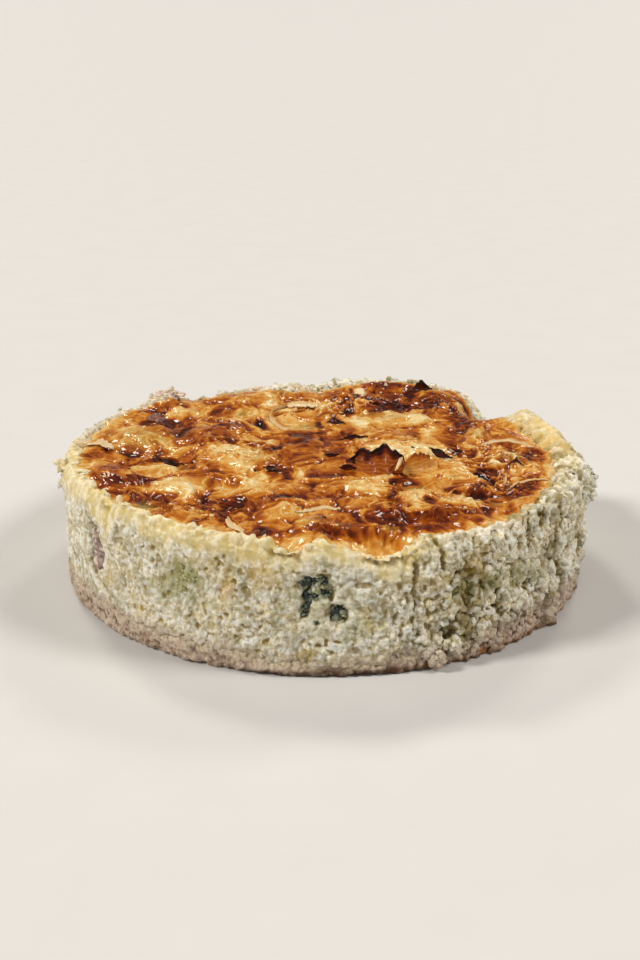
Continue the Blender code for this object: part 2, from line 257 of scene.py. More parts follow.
def smoothed_points(piece, rounds):
    """The points after each has moved to the middle of its neighbours, rounds times."""
    points = points_of(piece)
    pairs = np.empty(len(piece.data.edges) * 2, dtype=np.int32)
    piece.data.edges.foreach_get("vertices", pairs)
    first, second = pairs.reshape(-1, 2).T
    count = np.bincount(pairs, minlength=len(points))[:, None]
    for _ in range(rounds):
        total = np.column_stack([
            np.bincount(first, points[second, axis], len(points))
            + np.bincount(second, points[first, axis], len(points)) for axis in range(3)])
        points = total / np.maximum(count, 1)
    return points


# The finishes use this depth for painted shade in hollows and creases and painted highlights on crests
def store_hollows(piece, rounds, depth, name="hollow"):
    """Store how deep each point lies under its smoothed surroundings, as -1 to 1."""
    sunk = np.sum((smoothed_points(piece, rounds) - points_of(piece)) * normals_of(piece), axis=1)
    store(piece, name, np.clip(sunk / depth, -1.0, 1.0))


def select_open_edges(piece):
    activate(piece)
    bpy.ops.object.mode_set(mode="EDIT")
    bpy.ops.mesh.select_mode(type="EDGE")
    bpy.ops.mesh.select_all(action="DESELECT")
    bpy.ops.mesh.select_non_manifold()


# %% [markdown]
# The skin puffed up in the oven, sank again and browned where it stood
# proud. Each patch below is one such blister, hollow or stain, given in
# plan: x, y, half sizes in mm, turn in degrees, rise in mm, and how brown it is,
# from 0 for pale custard to 1 for char.

# %% Patches of the skin
PATCHES = (
    # left side
    (-45, 8, 10, 12, 10, 2.2, 0.33), (-42.5, 21, 4.5, 4.5, 0, 0.4, 0.80), (-38, 29, 5, 5, 0, 1.0, 0.20),
    (-28, 8, 8, 14, -12, 2.4, 0.58), (-24, 15, 4, 7, -30, 0.3, 0.72), (-20.5, -5, 10, 11, 0, 2.0, 0.24),
    (-32, -27, 6.5, 8, 20, 1.9, 0.17), (-40.5, -13, 6, 6, 0, 0.7, 0.27),
    (-49, -19, 6, 11, 15, 1.8, 0.52), (-43, -24, 4, 5, 0, 0.2, 0.44), (-37, -7, 2.6, 4.5, 35, -1.2, 0.84),
    (-54, 2, 3, 10, 5, 0.2, 0.50), (-50, 26, 5, 7, 30, 0.5, 0.44), (-45, 36, 6, 4, 0, 0.6, 0.52),
    # front left
    (-39, -40, 5, 6, 45, 0.5, 0.36), (-20.8, -35.5, 3.6, 5.2, 0, -0.8, 0.76),
    (-29, -44, 8, 5, -30, 1.1, 0.52), (-10, -41, 5, 6.5, 0, 1.2, 0.36), (-3, -48.5, 4, 5, -20, 0.5, 0.24),
    (-15.5, -46, 5, 8, 25, 0.3, 0.46), (-5, -57, 8, 5, 0, 0.6, 0.40), (-36, -33, 8, 2.6, -30, -0.6, 0.64),
    (-15, -29, 4, 4.5, 0, 0.8, 0.30), (-29, -14, 6, 4, 0, 0.4, 0.40), (-24, -19, 7, 3, 0, 0.4, 0.50),
    # middle
    (-7, -4, 8, 10, 0, 0.3, 0.56), (-9, -26, 10, 5, 0, 0.3, 0.36), (7.9, -26, 9.5, 6.5, 0, 1.5, 0.24),
    (19, 0, 9.5, 9, 0, 1.0, 0.15), (16, 12.5, 7, 4.5, 0, 0.9, 0.40), (-7.5, 23, 6.5, 10, 0, -1.0, 0.27),
    (2, 9, 7, 5, 0, -0.3, 0.60), (-12, 12, 7, 5, 20, -0.4, 0.62), (2, -13, 6, 5, 0, 0.3, 0.42),
    (20.3, -25, 3, 2.4, 0, -0.4, 0.34), (31, -14, 5, 6, 0, 0.6, 0.32), (14, -19, 6, 2.6, 0, 0.2, 0.22),
    (8, -32, 8, 2.6, 0, -0.4, 0.54),
    # back
    (17, 54, 11, 6, 0, 2.2, 0.68), (-24, 40, 11, 7, 20, 1.2, 0.42), (-11, 48, 9, 5.5, 0, 1.4, 0.38),
    (10.5, 36, 5, 6, 0, 0.9, 0.38), (7.5, 42, 6, 5, 0, 0.6, 0.60), (20, 24, 8, 8, 0, 0.6, 0.28),
    (24.2, 22.5, 3.6, 7, -10, 1.3, 0.18), (35.5, 40, 8, 10, 30, 1.7, 0.60), (39, 33, 3.4, 5, 30, 0.6, 0.30),
    (18, 37, 7, 5, 0, -0.6, 0.80), (-15, 23, 2.4, 6, 0, -1.6, 0.88), (-2, 52, 10, 3.4, 0, 0.5, 0.46),
    (30, 30, 5, 5, 0, 0.2, 0.60), (-30, 24, 6, 5, 0, 0.4, 0.50), (0, 30, 4, 5, 0, 0.3, 0.46),
    # right side
    (38.5, 12, 4.4, 7, 0, 1.2, 0.28), (31.7, 1.5, 2.8, 5, 0, -0.9, 0.82), (43, -8.5, 5, 6.5, 0, 1.7, 0.30),
    (34, 7, 5, 8, 0, 0.3, 0.56), (44.5, -26, 6, 12, -15, 0.3, 0.68), (38, -20, 4, 8, -20, -0.7, 0.62),
    (47, 10, 4, 10, 0, 0.6, 0.52), (34, -26, 4, 5, 0, 0.3, 0.58), (48, -14, 2.6, 5, 0, 0.8, 0.42),
    (35, -31.5, 5, 2.6, 30, -1.4, 0.76), (42, -36, 4, 3.4, 0, 0.7, 0.40), (41, 22, 5, 5, 0, 0.5, 0.56),
    # front right
    (20.4, -32, 5.4, 5, 0, 1.2, 0.20), (11.8, -38.5, 6.5, 6, 0, 1.6, 0.50), (29, -35, 8, 3.4, -20, 0.8, 0.22),
    (28, -45, 10, 4, -15, 0.8, 0.62), (22.3, -50.5, 3.4, 3, 0, 0.3, 0.78),
    (4, -49.5, 10, 4.0, -10, 1.0, 0.58), (0, -44.5, 6, 2.4, 0, 0.3, 0.54), (5, -58, 9, 3.6, 0, -0.6, 0.22),
    (33, -44, 4, 3, 0, 0.7, 0.52),
    (13.5, -51, 4, 3.4, 0, -0.5, 0.50), (12.5, -56, 5, 4, 0, 0.2, 0.42), (18, -45, 4, 2.6, 0, -0.6, 0.60),
    (12.5, -60, 3.6, 3.4, 0, 0.5, 0.52),
)

# Folds where a flap of skin ends: three points in mm, rise, width in front of
# and behind the crest in mm, and how brown the front is
FOLDS = (
    (((-53, -22), (-44, -25), (-35, -18)), 0.9, 1.4, 5.0, 0.74),
    (((-47, -30), (-38, -36), (-28, -38)), 1.0, 1.3, 5.0, 0.68),
    (((13, -44), (26, -44), (38.5, -38.5)), 1.6, 1.8, 8.0, 0.70),
    (((-9, -53), (4, -48), (17, -54)), 1.0, 1.6, 5.0, 0.68),
    (((-9, -20), (4, -20), (16, -23)), 0.7, 1.0, 4.0, 0.50),
    (((-31, -1), (-23, 5), (-12, 3)), 0.8, 1.0, 4.0, 0.66),
    (((-14, -37), (-5, -34), (5, -36)), 0.8, 1.0, 4.0, 0.58),
    (((1, 6), (12, 8), (26, 5)), 0.7, 1.0, 4.0, 0.54),
    (((-37, 20), (-28, 24), (-17, 21)), 0.7, 1.0, 4.0, 0.64),
    (((27, 13), (34, 20), (45, 17)), 0.7, 1.0, 4.0, 0.66),
    (((-36, -16), (-27, -21), (-17, -21)), 0.6, 1.0, 4.0, 0.56),
    (((-2, 40), (8, 44), (20, 42)), 0.7, 1.0, 4.0, 0.70),
)

# Places where leek and onion shreds crowd the skin: x, y, half sizes in mm, share
SHREDDED = (
    (40, -14, 13, 26, 1.0), (5, 36, 34, 12, 0.8), (16, -2, 14, 12, 0.6), (-20, -5, 9, 9, 0.6),
    (-30, -40, 12, 8, 0.5), (36, 36, 10, 10, 0.8), (22, -34, 14, 8, 0.6),
)
# Green stains of broccoli and leek under the skin: x, y, half sizes, strength
GREENS = (
    (-38.5, -40, 3.4, 4.2, 0.9), (-21.5, 31, 1.6, 2.4, 0.9), (-11, 48.5, 2.4, 3, 0.8), (-5, 20, 3, 5, 0.5),
    (20.3, -25, 2.6, 1.6, 0.8), (-44, 6, 8, 10, 0.30), (43.5, -8.5, 3, 4.4, 0.4), (38.5, 11, 3, 5, 0.3),
    (17, 26, 3, 3, 0.4), (-2, -47, 3, 4, 0.25), (37, -36, 2.6, 2.2, 0.6), (-30, 17, 1.4, 2.2, 0.6),
    (14, -49, 2.4, 1.2, 0.7), (-16, -6, 2.2, 3.4, 0.4), (12, 28, 3, 2, 0.5), (-33, -13, 2.4, 2, 0.4),
)
print(len(PATCHES), "patches,", len(FOLDS), "folds")


# %% [markdown]
# The patches become two fields over the plan: the height of the skin and its
# browning. The places are first warped by noise, so no blister is a true
# ellipse. A pale blister gets a broken brown outline in a shallow crease round
# it, partly browning and partly painted shade, and thin ridges of noise make
# the strands and wrinkles of melted cheese.

# %% Patches and folds of the skin
# Middle of the scale of browning, and the tone past which it darkens more slowly
MID_BROWN = 0.46
RUST = 0.74
FOLD_STEPS = 12


def warped(x, y, reach, size, seed):
    flat = flat_points(x, y)
    return x + reach * soft_noise(flat, size, seed), y + reach * soft_noise(flat, size, seed + 1)


def patch_distance(x, y, middle_x, middle_y, half_x, half_y, turn=0.0):
    dx, dy = x / MM - middle_x, y / MM - middle_y
    cosine, sine = math.cos(math.radians(turn)), math.sin(math.radians(turn))
    return np.hypot((dx * cosine + dy * sine) / half_x, (dy * cosine - dx * sine) / half_y)


def dome(distance):
    round_top = np.sqrt(np.clip(1.0 - distance * distance, 0.0, 1.0))
    return 0.4 * round_top + 0.6 * bell(distance)


def ridge(noise, sharpness):
    """Thin lines, 1 high, where a noise passes through 0."""
    return np.clip(1.0 - sharpness * np.abs(noise), 0.0, 1.0)


def fold_offset(x, y, points):
    """Side of the fold's line, plus in front, the distance to it in mm, and a fade at its ends."""
    (x0, y0), (x1, y1), (x2, y2) = points
    best = np.full(len(x), 1e9)
    side = np.zeros(len(x))
    along = np.zeros(len(x))
    for step in range(FOLD_STEPS):
        share = (step + 0.5) / FOLD_STEPS
        rest = 1 - share
        line_x = rest ** 2 * x0 + 2 * share * rest * x1 + share * share * x2
        line_y = rest ** 2 * y0 + 2 * share * rest * y1 + share * share * y2
        ahead_x = 2 * rest * (x1 - x0) + 2 * share * (x2 - x1)
        ahead_y = 2 * rest * (y1 - y0) + 2 * share * (y2 - y1)
        dx, dy = x / MM - line_x, y / MM - line_y
        distance = np.hypot(dx, dy)
        closer = distance < best
        best = np.where(closer, distance, best)
        side = np.where(closer, (dx * ahead_y - dy * ahead_x) / math.hypot(ahead_x, ahead_y), side)
        along = np.where(closer, share, along)
    fade = smooth_step(along, 0.0, 0.25) * smooth_step(1.0 - along, 0.0, 0.25)
    return side, best, fade


def add_patches(x, y, broken, rise, brown):
    """Raise and brown every patch; a pale one gets a broken brown outline."""
    for middle_x, middle_y, half_x, half_y, turn, height, tone in PATCHES:
        distance = patch_distance(x, y, middle_x, middle_y, half_x, half_y, turn)
        rise += height * dome(distance)
        weight = 1.0 - smooth_step(distance, 0.30, 1.20)
        brown += 0.85 * weight * (0.45 + 1.05 * (tone - 0.45) - brown)
        # A pale patch gets a darker ring in a shallow crease round it: partly browning, partly painted shade
        if tone < 0.35:
            outline = broken * np.exp(-((distance - 1.08) / 0.15) ** 2)
            brown += 0.14 * outline
            rise -= 0.16 * outline


def add_folds(x, y, rise, brown):
    """Raise a crest along every fold and brown its front."""
    for points, height, front, behind, tone in FOLDS:
        side, distance, fade = fold_offset(x, y, points)
        reach = np.where(side > 0.0, front, behind)
        rise += height * fade * np.exp(-(distance / reach) ** 2)
        on_front = fade * np.exp(-((distance - 0.8) / 1.7) ** 2) * (side > -0.5)
        brown += on_front * (tone - 0.05 - brown)


# %% [markdown]
# Between the patches the skin is never plain. Slow noise gives it swells, warped
# noise gives caramel and straw coloured clouds, and lines where a noise passes
# through zero give thin strands and shreds. All of it is one function of x and y,
# so that scraps laid on the skin later can ask for it again.

# %% Height and browning of the skin
def add_strands(x, y, flat, rise):
    """Add wrinkles and crossing strands in place, and return how much the wrinkles pale the skin."""
    wrinkled = smooth_step(soft_noise(flat, 9.0 * MM, 11), -0.1, 0.6)
    strand = ridge(soft_noise(flat_points(x, 0.6 * y), 2.8 * MM, 9), 3.0)
    cross = ridge(soft_noise(flat_points(0.7 * x, 0.7 * y), 2.0 * MM, 15), 3.0)
    rise += 0.20 * wrinkled * strand + 0.14 * (1.0 - wrinkled) * cross
    return 0.05 * wrinkled * strand


def crowding(x, y):
    """How crowded with shreds the skin is at each place."""
    busy = np.full(len(x), 0.30)
    for middle_x, middle_y, half_x, half_y, share in SHREDDED:
        distance = patch_distance(x, y, middle_x, middle_y, half_x, half_y)
        busy = np.maximum(busy, share * bell(0.8 * distance))
    return busy


def skin_form(x, y):
    """Height of the skin over its plain level and its browning, which holds some painted light and shade, for
    lists of x and y.
    """
    flat = flat_points(x, y)
    bent_x, bent_y = x, y
    for reach, size, seed in ((2.4, 6.0, 31), (1.0, 2.4, 35), (0.2, 1.0, 37)):
        bent_x, bent_y = warped(bent_x, bent_y, reach * MM, size * MM, seed)
    tall = [1.0, 0.5, 1.0]
    bent = flat_points(bent_x, bent_y) * tall
    broken = smooth_step(soft_noise(flat, 3.0 * MM, 49), -0.2, 0.4)
    rise = layers(flat, (0.40, 8.0, 3), (0.24, 3.4, 5))
    brown = 0.47 + layers(flat * tall, (0.22, 6.0, 41)) + layers(bent, (0.14, 2.6, 43))
    caramel = smooth_step(soft_noise(bent, 4.2 * MM, 57), 0.10, 0.34)
    straw = smooth_step(soft_noise(bent, 3.4 * MM, 59), 0.12, 0.32)
    brown += 0.17 * caramel - 0.15 * straw
    add_patches(bent_x, bent_y, broken, rise, brown)
    add_folds(bent_x, bent_y, rise, brown)
    brown += 0.07 * soft_noise(bent, 1.2 * MM, 47) - add_strands(bent_x, bent_y, flat, rise)
    leaning = np.column_stack([bent_x + 0.6 * bent_y, 0.45 * (bent_y - 0.6 * bent_x), 0.0 * bent_x])
    shreds = ridge(soft_noise(leaning, 1.7 * MM, 51), 4.5)
    threads = ridge(soft_noise(flat_points(0.6 * bent_y, bent_x), 1.2 * MM, 53), 4.0)
    lumpy = soft_noise(flat_points(bent_x, 0.7 * bent_y), 2.1 * MM, 63)
    busy = crowding(x, y)
    # Where the skin is busy, the raised shreds, threads and lumps are painted paler and the lows between them
    # browner: partly the shreds' own paler colour, partly painted light on the tops and painted shade in the
    # lows
    rise += busy * (0.70 * shreds + 0.40 * threads + 0.50 * lumpy)
    fine = 0.18 * soft_noise(bent, 1.6 * MM, 55)
    brown += busy * (fine - 0.24 * shreds - 0.12 * threads - 0.26 * lumpy + 0.14)
    rise += 0.10 * caramel - 0.06 * straw
    brown = MID_BROWN + (brown - MID_BROWN) * np.where(brown > MID_BROWN, 1.34, 1.12)
    brown = np.where(brown > RUST, RUST + 0.62 * (brown - RUST), brown)
    return rise * MM, np.clip(brown, 0.0, 1.0)


def green_at(x, y):
    bent_x, bent_y = warped(x, y, 1.4 * MM, 3.0 * MM, 61)
    green = np.zeros(len(x))
    for middle_x, middle_y, half_x, half_y, strength in GREENS:
        distance = patch_distance(bent_x, bent_y, middle_x, middle_y, half_x, half_y)
        green = np.maximum(green, strength * bell(distance * 0.9))
    return green


# %% [markdown]
# The skin ends in a torn edge a few millimetres inside the rim, and the custard's
# lip stands round it. Both follow the tables, with noise that closes on itself
# round the rim, and the skin slopes to meet the lip.

# %% Edge and level of the skin
def skin_edge(azimuth):
    """Radius at which the browned skin ends and the torn lip begins."""
    ring = around(azimuth)
    torn = 0.5 - 2.2 * np.abs(soft_noise(ring, 0.062, 75))
    ragged = 0.7 * torn + 0.55 * soft_noise(ring, 0.045, 71) + 0.50 * soft_noise(ring, 0.018, 73)
    ragged += 1.5 * near(azimuth, 14.0, 26.0) * soft_noise(ring, 0.075, 77)
    return table_at(azimuth, SKIN_EDGE) + ragged * MM


def lip_height(azimuth):
    """Height of the rim, torn in steps and small teeth."""
    ring = around(azimuth)
    ragged = 0.40 * soft_noise(ring, 0.05, 23) + 0.35 * soft_noise(ring, 0.017, 25)
    return table_at(azimuth, RIM) + ragged * MM


def skin_level(x, y):
    """Plain level of the skin: flat inside, sloping to meet the lip."""
    flat = flat_points(x, y)
    azimuth = azimuth_of(flat)
    gap = skin_edge(azimuth) - radius_of(flat)
    meets = 1.0 - smooth_step(gap, 0.0, 9.0 * MM)
    rim = np.minimum(lip_height(azimuth) - 0.5 * MM, SKIN_LEVEL + 1.3 * MM)
    return SKIN_LEVEL * (1.0 - meets) + rim * meets, meets


def skin_height(x, y):
    rise, _ = skin_form(x, y)
    level, meets = skin_level(x, y)
    return level + rise * (1.0 - 0.5 * meets)


def height_at(x, y):
    """Height of the skin at one place given in mm."""
    return float(skin_height(np.array([x * MM]), np.array([y * MM]))[0])


probe = np.linspace(-50, 50, 11) * MM
print("skin along X, mm:", np.round(skin_height(probe, probe * 0) / MM, 1))

# %% [markdown]
# The skin is a fine grid that is bent into a disc. Its square outline is
# mapped on a circle, so the cells stay nearly even and the edge is smooth. The
# edge is then extruded down into the custard and closed, which makes the skin a
# solid sheet whose border tucks in behind the lip.

# %% Model the browned skin
SKIN_CELLS = 290
SKIN_FOOT = 20.0 * MM
SKIN_FOOT_SHARE = 0.90
SKIN_TUCK = 0.7 * MM
# Where the edge is drawn in, so it doesn't show through the lip: azimuth, reach, amount
DRAWN_IN = (-96.0, 5.0, 1.3 * MM)

deselect_all()
bpy.ops.mesh.primitive_grid_add(x_subdivisions=SKIN_CELLS, y_subdivisions=SKIN_CELLS, size=2.0)
skin = added("browned_skin")
square = points_of(skin)
disc_x = square[:, 0] * np.sqrt(1.0 - 0.5 * square[:, 1] ** 2)
disc_y = square[:, 1] * np.sqrt(1.0 - 0.5 * square[:, 0] ** 2)
azimuth = np.degrees(np.arctan2(disc_y, disc_x))
border = skin_edge(azimuth) + (SKIN_TUCK - DRAWN_IN[2] * near(azimuth, *DRAWN_IN[:2]))
radius = np.hypot(disc_x, disc_y) * border
skin_x = radius * np.cos(np.radians(azimuth))
skin_y = radius * np.sin(np.radians(azimuth))
droop = 1.5 * MM * (1.0 - smooth_step(border - radius, 0.0, 1.1 * MM))
over_rim = smooth_step(radius, WALL_RADIUS - 2.4 * MM, WALL_RADIUS + 0.2 * MM)
skin_z = skin_height(skin_x, skin_y) - droop - 1.2 * MM * over_rim
move_points(skin, np.column_stack([skin_x, skin_y, skin_z]))

select_open_edges(skin)
bpy.ops.mesh.extrude_edges_move(TRANSFORM_OT_translate={"value": (0.0, 0.0, -2.0 * MM)})
bpy.ops.mesh.edge_face_add()
bpy.ops.object.mode_set(mode="OBJECT")
closing = points_of(skin)
closing[len(square):, 2] = SKIN_FOOT
closing[len(square):, :2] *= SKIN_FOOT_SHARE
move_points(skin, closing)
print("skin faces:", len(skin.data.polygons))

# %% [markdown]
# The finish will ask the skin how brown and how green it is, and how deep each
# point lies under its surroundings. Near its edge the skin is thin, so it pales
# to an even gold, most of all over the dip in front.

# %% Store what the skin's finish reads
skin_points = points_of(skin)
skin_azimuth = azimuth_of(skin_points)
_, browning = skin_form(skin_points[:, 0], skin_points[:, 1])
past_edge = radius_of(skin_points) - skin_edge(skin_azimuth)
thin = smooth_step(past_edge + 3.5 * MM * near(skin_azimuth, DIP_AZIMUTH, 15.0), -3.2 * MM, 0.2 * MM)
browning = browning * (1.0 - 0.72 * thin) + 0.19 * thin
store(skin, "browning", browning)
store(skin, "green", green_at(skin_points[:, 0], skin_points[:, 1]))
# These depths drive the painted shade in the skin's hollows and creases
store_hollows(skin, 12, 0.25 * MM)
store_hollows(skin, 3, 0.07 * MM, "crevice")
bpy.ops.object.shade_smooth()
print("mean browning:", round(float(browning.mean()), 3))

# %% [markdown]
# The custard is a drum of curds. A plain cylinder is remeshed evenly and moved
# to the baked form: rounded at its shoulder, torn at its lip and tucked in over
# the base. Thousands of small lumps are then scattered over it, and one voxel
# remesh welds everything into a single crumbly surface, with the overhangs and
# gaps that no bump map gives.

# %% Helpers for crumb
# Pieces that show in the wall: node, place across and up it from -1 to 1, half width
# and half height as shares of the node's, and the depth of the recess there in mm
POCKETS = (
    ("broccoli_front", -0.49, 0.60, 0.40, 0.42, 1.7), ("broccoli_front", 0.12, 0.72, 0.40, 0.24, 1.8),
    ("broccoli_front", 0.42, 0.34, 0.26, 0.36, 1.8), ("broccoli_front", -0.40, 0.08, 0.34, 0.30, 1.2),
    ("broccoli_front", -0.53, -0.42, 0.28, 0.34, 1.5), ("broccoli_front", 0.66, -0.55, 0.46, 0.42, 1.8),
    ("broccoli_front", -0.10, -0.92, 0.16, 0.14, 1.0), ("broccoli_front", 0.04, 0.24, 0.26, 0.28, 0.9),
    ("broccoli_left", 0.20, 0.30, 0.50, 0.40, 0.3), ("broccoli_left", -0.10, -0.30, 0.30, 0.30, 0.3),
    ("broccoli_right", -0.20, 0.20, 0.45, 0.40, 0.8), ("broccoli_right", 0.40, -0.40, 0.35, 0.40, 0.6),
    ("broccoli_scrap", 0.00, 0.10, 0.55, 0.50, 0.6), ("salmon_left", 0.00, 0.00, 0.90, 0.95, 1.5),
)
UP = np.array([0.0, 0.0, 1.0])


def node_frame(node):
    """Middle of a node, the direction that faces out of the wall, sideways, and its half sizes."""
    low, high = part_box(node)
    middle = np.array((low + high) / 2)
    outward = np.array([middle[0], middle[1], 0.0]) / np.hypot(middle[0], middle[1])
    sideways = np.array([-outward[1], outward[0], 0.0])
    half_side = 0.5 * max(high.x - low.x, high.y - low.y)
    return middle, outward, sideways, half_side, 0.5 * (high.z - low.z)


def coarse_share(azimuth):
    """1 where the wall is coarse curd in upright columns, 0 where it is close and smooth."""
    right = within(azimuth, -36.0, 52.0, 22.0)
    back = 0.8 * within(azimuth, 78.0, 46.0, 16.0)
    return np.maximum(np.maximum(right, back), 0.10)


def pocket_depth(points):
    """Recess of the wall round each piece of broccoli or salmon that shows in it."""
    depth = np.zeros(len(points))
    shift = 0.4 * soft_noise(points, 1.6 * MM, 87)
    for node, across, up, wide, tall, recess in POCKETS:
        middle, outward, sideways, half_side, half_up = node_frame(node)
        away = points - middle
        facing = away @ outward > -12.0 * MM
        side = (away @ sideways / half_side - across) / wide
        distance = np.hypot(side, (away[:, 2] / half_up - up) / tall) + shift
        depth = np.maximum(depth, facing * recess * MM * (1.0 - smooth_step(distance, 0.6, 1.15)))
    return depth


def shoulder_share(points):
    """1 on the smooth cream shoulder between the skin and the crumb, in front at the right."""
    inside = smooth_step(radius_of(points), WALL_RADIUS - 0.8 * MM, WALL_RADIUS - 2.4 * MM)
    high = smooth_step(lip_height(azimuth_of(points)) - points[:, 2], 3.5 * MM, 1.5 * MM)
    return inside * high * near(azimuth_of(points), *SHOULDER_PLACE)


def film_share(points):
    """1 on the smooth film that was pulled up over the wall's top on the left and in front."""
    azimuth = azimuth_of(points)
    left = within(azimuth, -126.0, 64.0, 50.0)
    depth = (3.6 + 2.4 * soft_noise(points * [1.0, 1.0, 0.6], 5.0 * MM, 89)) * MM
    depth += 1.2 * MM * soft_noise(points, 1.6 * MM, 97)
    under = lip_height(azimuth) - points[:, 2]
    left *= smooth_step(under, depth + 1.8 * MM, depth - 1.8 * MM)
    dip = smooth_step(under, 3.6 * MM, 1.8 * MM) * near(azimuth, DIP_AZIMUTH, 8.0)
    return np.maximum(left, np.maximum(0.9 * shoulder_share(points), dip))


def lobe_share(points):
    """1 on the smooth yellow lobe that stands over the skin at the right."""
    lobe = near(azimuth_of(points), *LOBE_PLACE) * smooth_step(points[:, 2], 25.0 * MM, 28.0 * MM)
    return lobe * smooth_step(radius_of(points), WALL_RADIUS - 0.8 * MM, WALL_RADIUS - 3.0 * MM)


# %% [markdown]
# On the right the crumb stands in upright columns with deep grooves between them.
# Noise that is stretched upwards gives both. The spots from the table and the
# pockets of the wall are added to it.

# %% Relief of the wall and the seam over the base
def groove_share(points):
    """1 in the recesses between the upright columns of the coarse curd."""
    leaning = points + 0.9 * MM * soft_noise(points, 2.4 * MM, 79)[:, None]
    columns = soft_noise(leaning * [1.0, 1.0, 0.25], 3.6 * MM, 81)
    broken = smooth_step(soft_noise(points, 5.0 * MM, 83), 0.35, -0.15)
    return coarse_share(azimuth_of(points)) * broken * np.exp(-(columns / 0.17) ** 2)


def wall_offset(points):
    """How far the crumb stands out of the true round of the wall."""
    azimuth = azimuth_of(points)
    coarse = coarse_share(azimuth)
    columns = soft_noise(points * [1.0, 1.0, 0.3], 3.4 * MM, 95)
    lumps = layers(points, (0.55, 5.0, 83), (0.3, 2.4, 85))
    offset = (0.45 + 0.45 * coarse) * lumps + (0.12 + 0.5 * coarse) * columns - 2.0 * groove_share(points)
    return offset * MM + spots_at(azimuth, WALL_SPOTS) - pocket_depth(points)


def seam_height(azimuth):
    """Where the custard ends over the base."""
    ring = around(azimuth)
    wave = 1.0 * soft_noise(ring, 0.14, 91) + 0.7 * soft_noise(ring, 0.04, 93)
    return np.maximum(BASE_HEIGHT + 0.6 * MM + spots_at(azimuth, SEAM_SPOTS) + wave * MM, 1.6 * MM)


# %% [markdown]
# Thousands of curds and crumbs are copies of one small lump, each with its own
# size and turn. Each kind is built as one mesh at once, which is much quicker
# than adding every copy with an operator.

# %% Helpers that scatter one lump
def lump_mesh(name, seed):
    """One uneven lump of about unit size, to be copied many times."""
    deselect_all()
    bpy.ops.mesh.primitive_ico_sphere_add(subdivisions=2, radius=1.0)
    lump = added(name)
    points = points_of(lump)
    points *= 1.0 + 0.48 * soft_noise(points, 0.7, seed)[:, None]
    move_points(lump, points)
    return lump


def scatter(name, source, places, sizes, turns):
    """Copies of one lump as a single mesh: places, half sizes and turns are lists."""
    shape = points_of(source)
    faces = np.array([face.vertices[:] for face in source.data.polygons])
    copies = []
    for place, size, turn in zip(places, sizes, turns):
        cosine, sine = math.cos(turn), math.sin(turn)
        spun = (shape * size) @ np.array([[cosine, sine, 0.0], [-sine, cosine, 0.0], [0.0, 0.0, 1.0]])
        copies.append(spun + place)
    offsets = np.arange(len(copies))[:, None, None] * len(shape)
    mesh = bpy.data.meshes.new(name)
    mesh.from_pydata(np.concatenate(copies), [], (faces[None] + offsets).reshape(-1, 3))
    piece = bpy.data.objects.new(name, mesh)
    bpy.context.scene.collection.objects.link(piece)
    return piece


def join_into(piece, others):
    deselect_all()
    for other in others:
        other.select_set(True)
    piece.select_set(True)
    bpy.context.view_layer.objects.active = piece
    bpy.ops.object.join()


def ring_place(azimuth, radius, height):
    angle = np.radians(azimuth)
    return np.column_stack([radius * np.cos(angle), radius * np.sin(angle), height])


# %% [markdown]
# The drum is a plain cylinder, remeshed so that its points lie evenly. Its top is
# sunk under the skin and raised to the lip, its shoulder is rounded, and its wall
# is moved out and in by the relief.

# %% Model the custard's drum
DRUM_VOXEL = 1.0 * MM
SKIN_OVER_CUSTARD = 1.3 * MM
CREST_RADIUS = WALL_RADIUS - 1.6 * MM

deselect_all()
bpy.ops.mesh.primitive_cylinder_add(vertices=256, radius=WALL_RADIUS, depth=SKIN_LEVEL,
                                    location=(0.0, 0.0, 0.5 * SKIN_LEVEL))
custard = added("custard_wall")
run_modifier(custard, "REMESH", mode="VOXEL", voxel_size=DRUM_VOXEL)


def custard_top(points):
    """Height of the drum's top: sunk under the skin inside, raised at the lip."""
    azimuth = azimuth_of(points)
    edge = skin_edge(azimuth)
    crest = np.maximum(edge + 0.7 * MM, edge + 0.85 * (CREST_RADIUS - edge))
    share = smooth_step(radius_of(points), edge - 0.9 * MM, crest)
    inner = skin_height(points[:, 0], points[:, 1]) - SKIN_OVER_CUSTARD
    lobe = near(azimuth, *LOBE_PLACE) * smooth_step(radius_of(points), edge, edge + 2.0 * MM)
    folds = layers(points * [1.0, 1.0, 0.0], (1.0, 3.4, 161), (0.6, 1.7, 163))
    across = np.clip((radius_of(points) - edge) / (CREST_RADIUS - edge), 0.0, 1.0)
    swell = 2.3 * np.sin(np.pi * across) * near(azimuth, *LOBE_SWELL)
    return inner * (1.0 - share) + lip_height(azimuth) * share + lobe * (folds + swell) * MM


def rounded_shoulder(radius, height, top):
    """Pull the corner between wall and lip onto a quarter circle."""
    across = np.clip((radius - (WALL_RADIUS - SHOULDER)) / SHOULDER, 0.0, 1.0)
    up = np.clip((height - (top - SHOULDER)) / SHOULDER, 0.0, 1.0)
    length = np.maximum(np.hypot(across, up), 1e-6)
    corner = (across > 0.0) & (up > 0.0)
    scale = np.where(corner, np.maximum(across, up) / length, 1.0)
    radius = np.where(corner, WALL_RADIUS - SHOULDER + SHOULDER * across * scale, radius)
    height = np.where(corner, top - SHOULDER + SHOULDER * up * scale, height)
    return radius, height


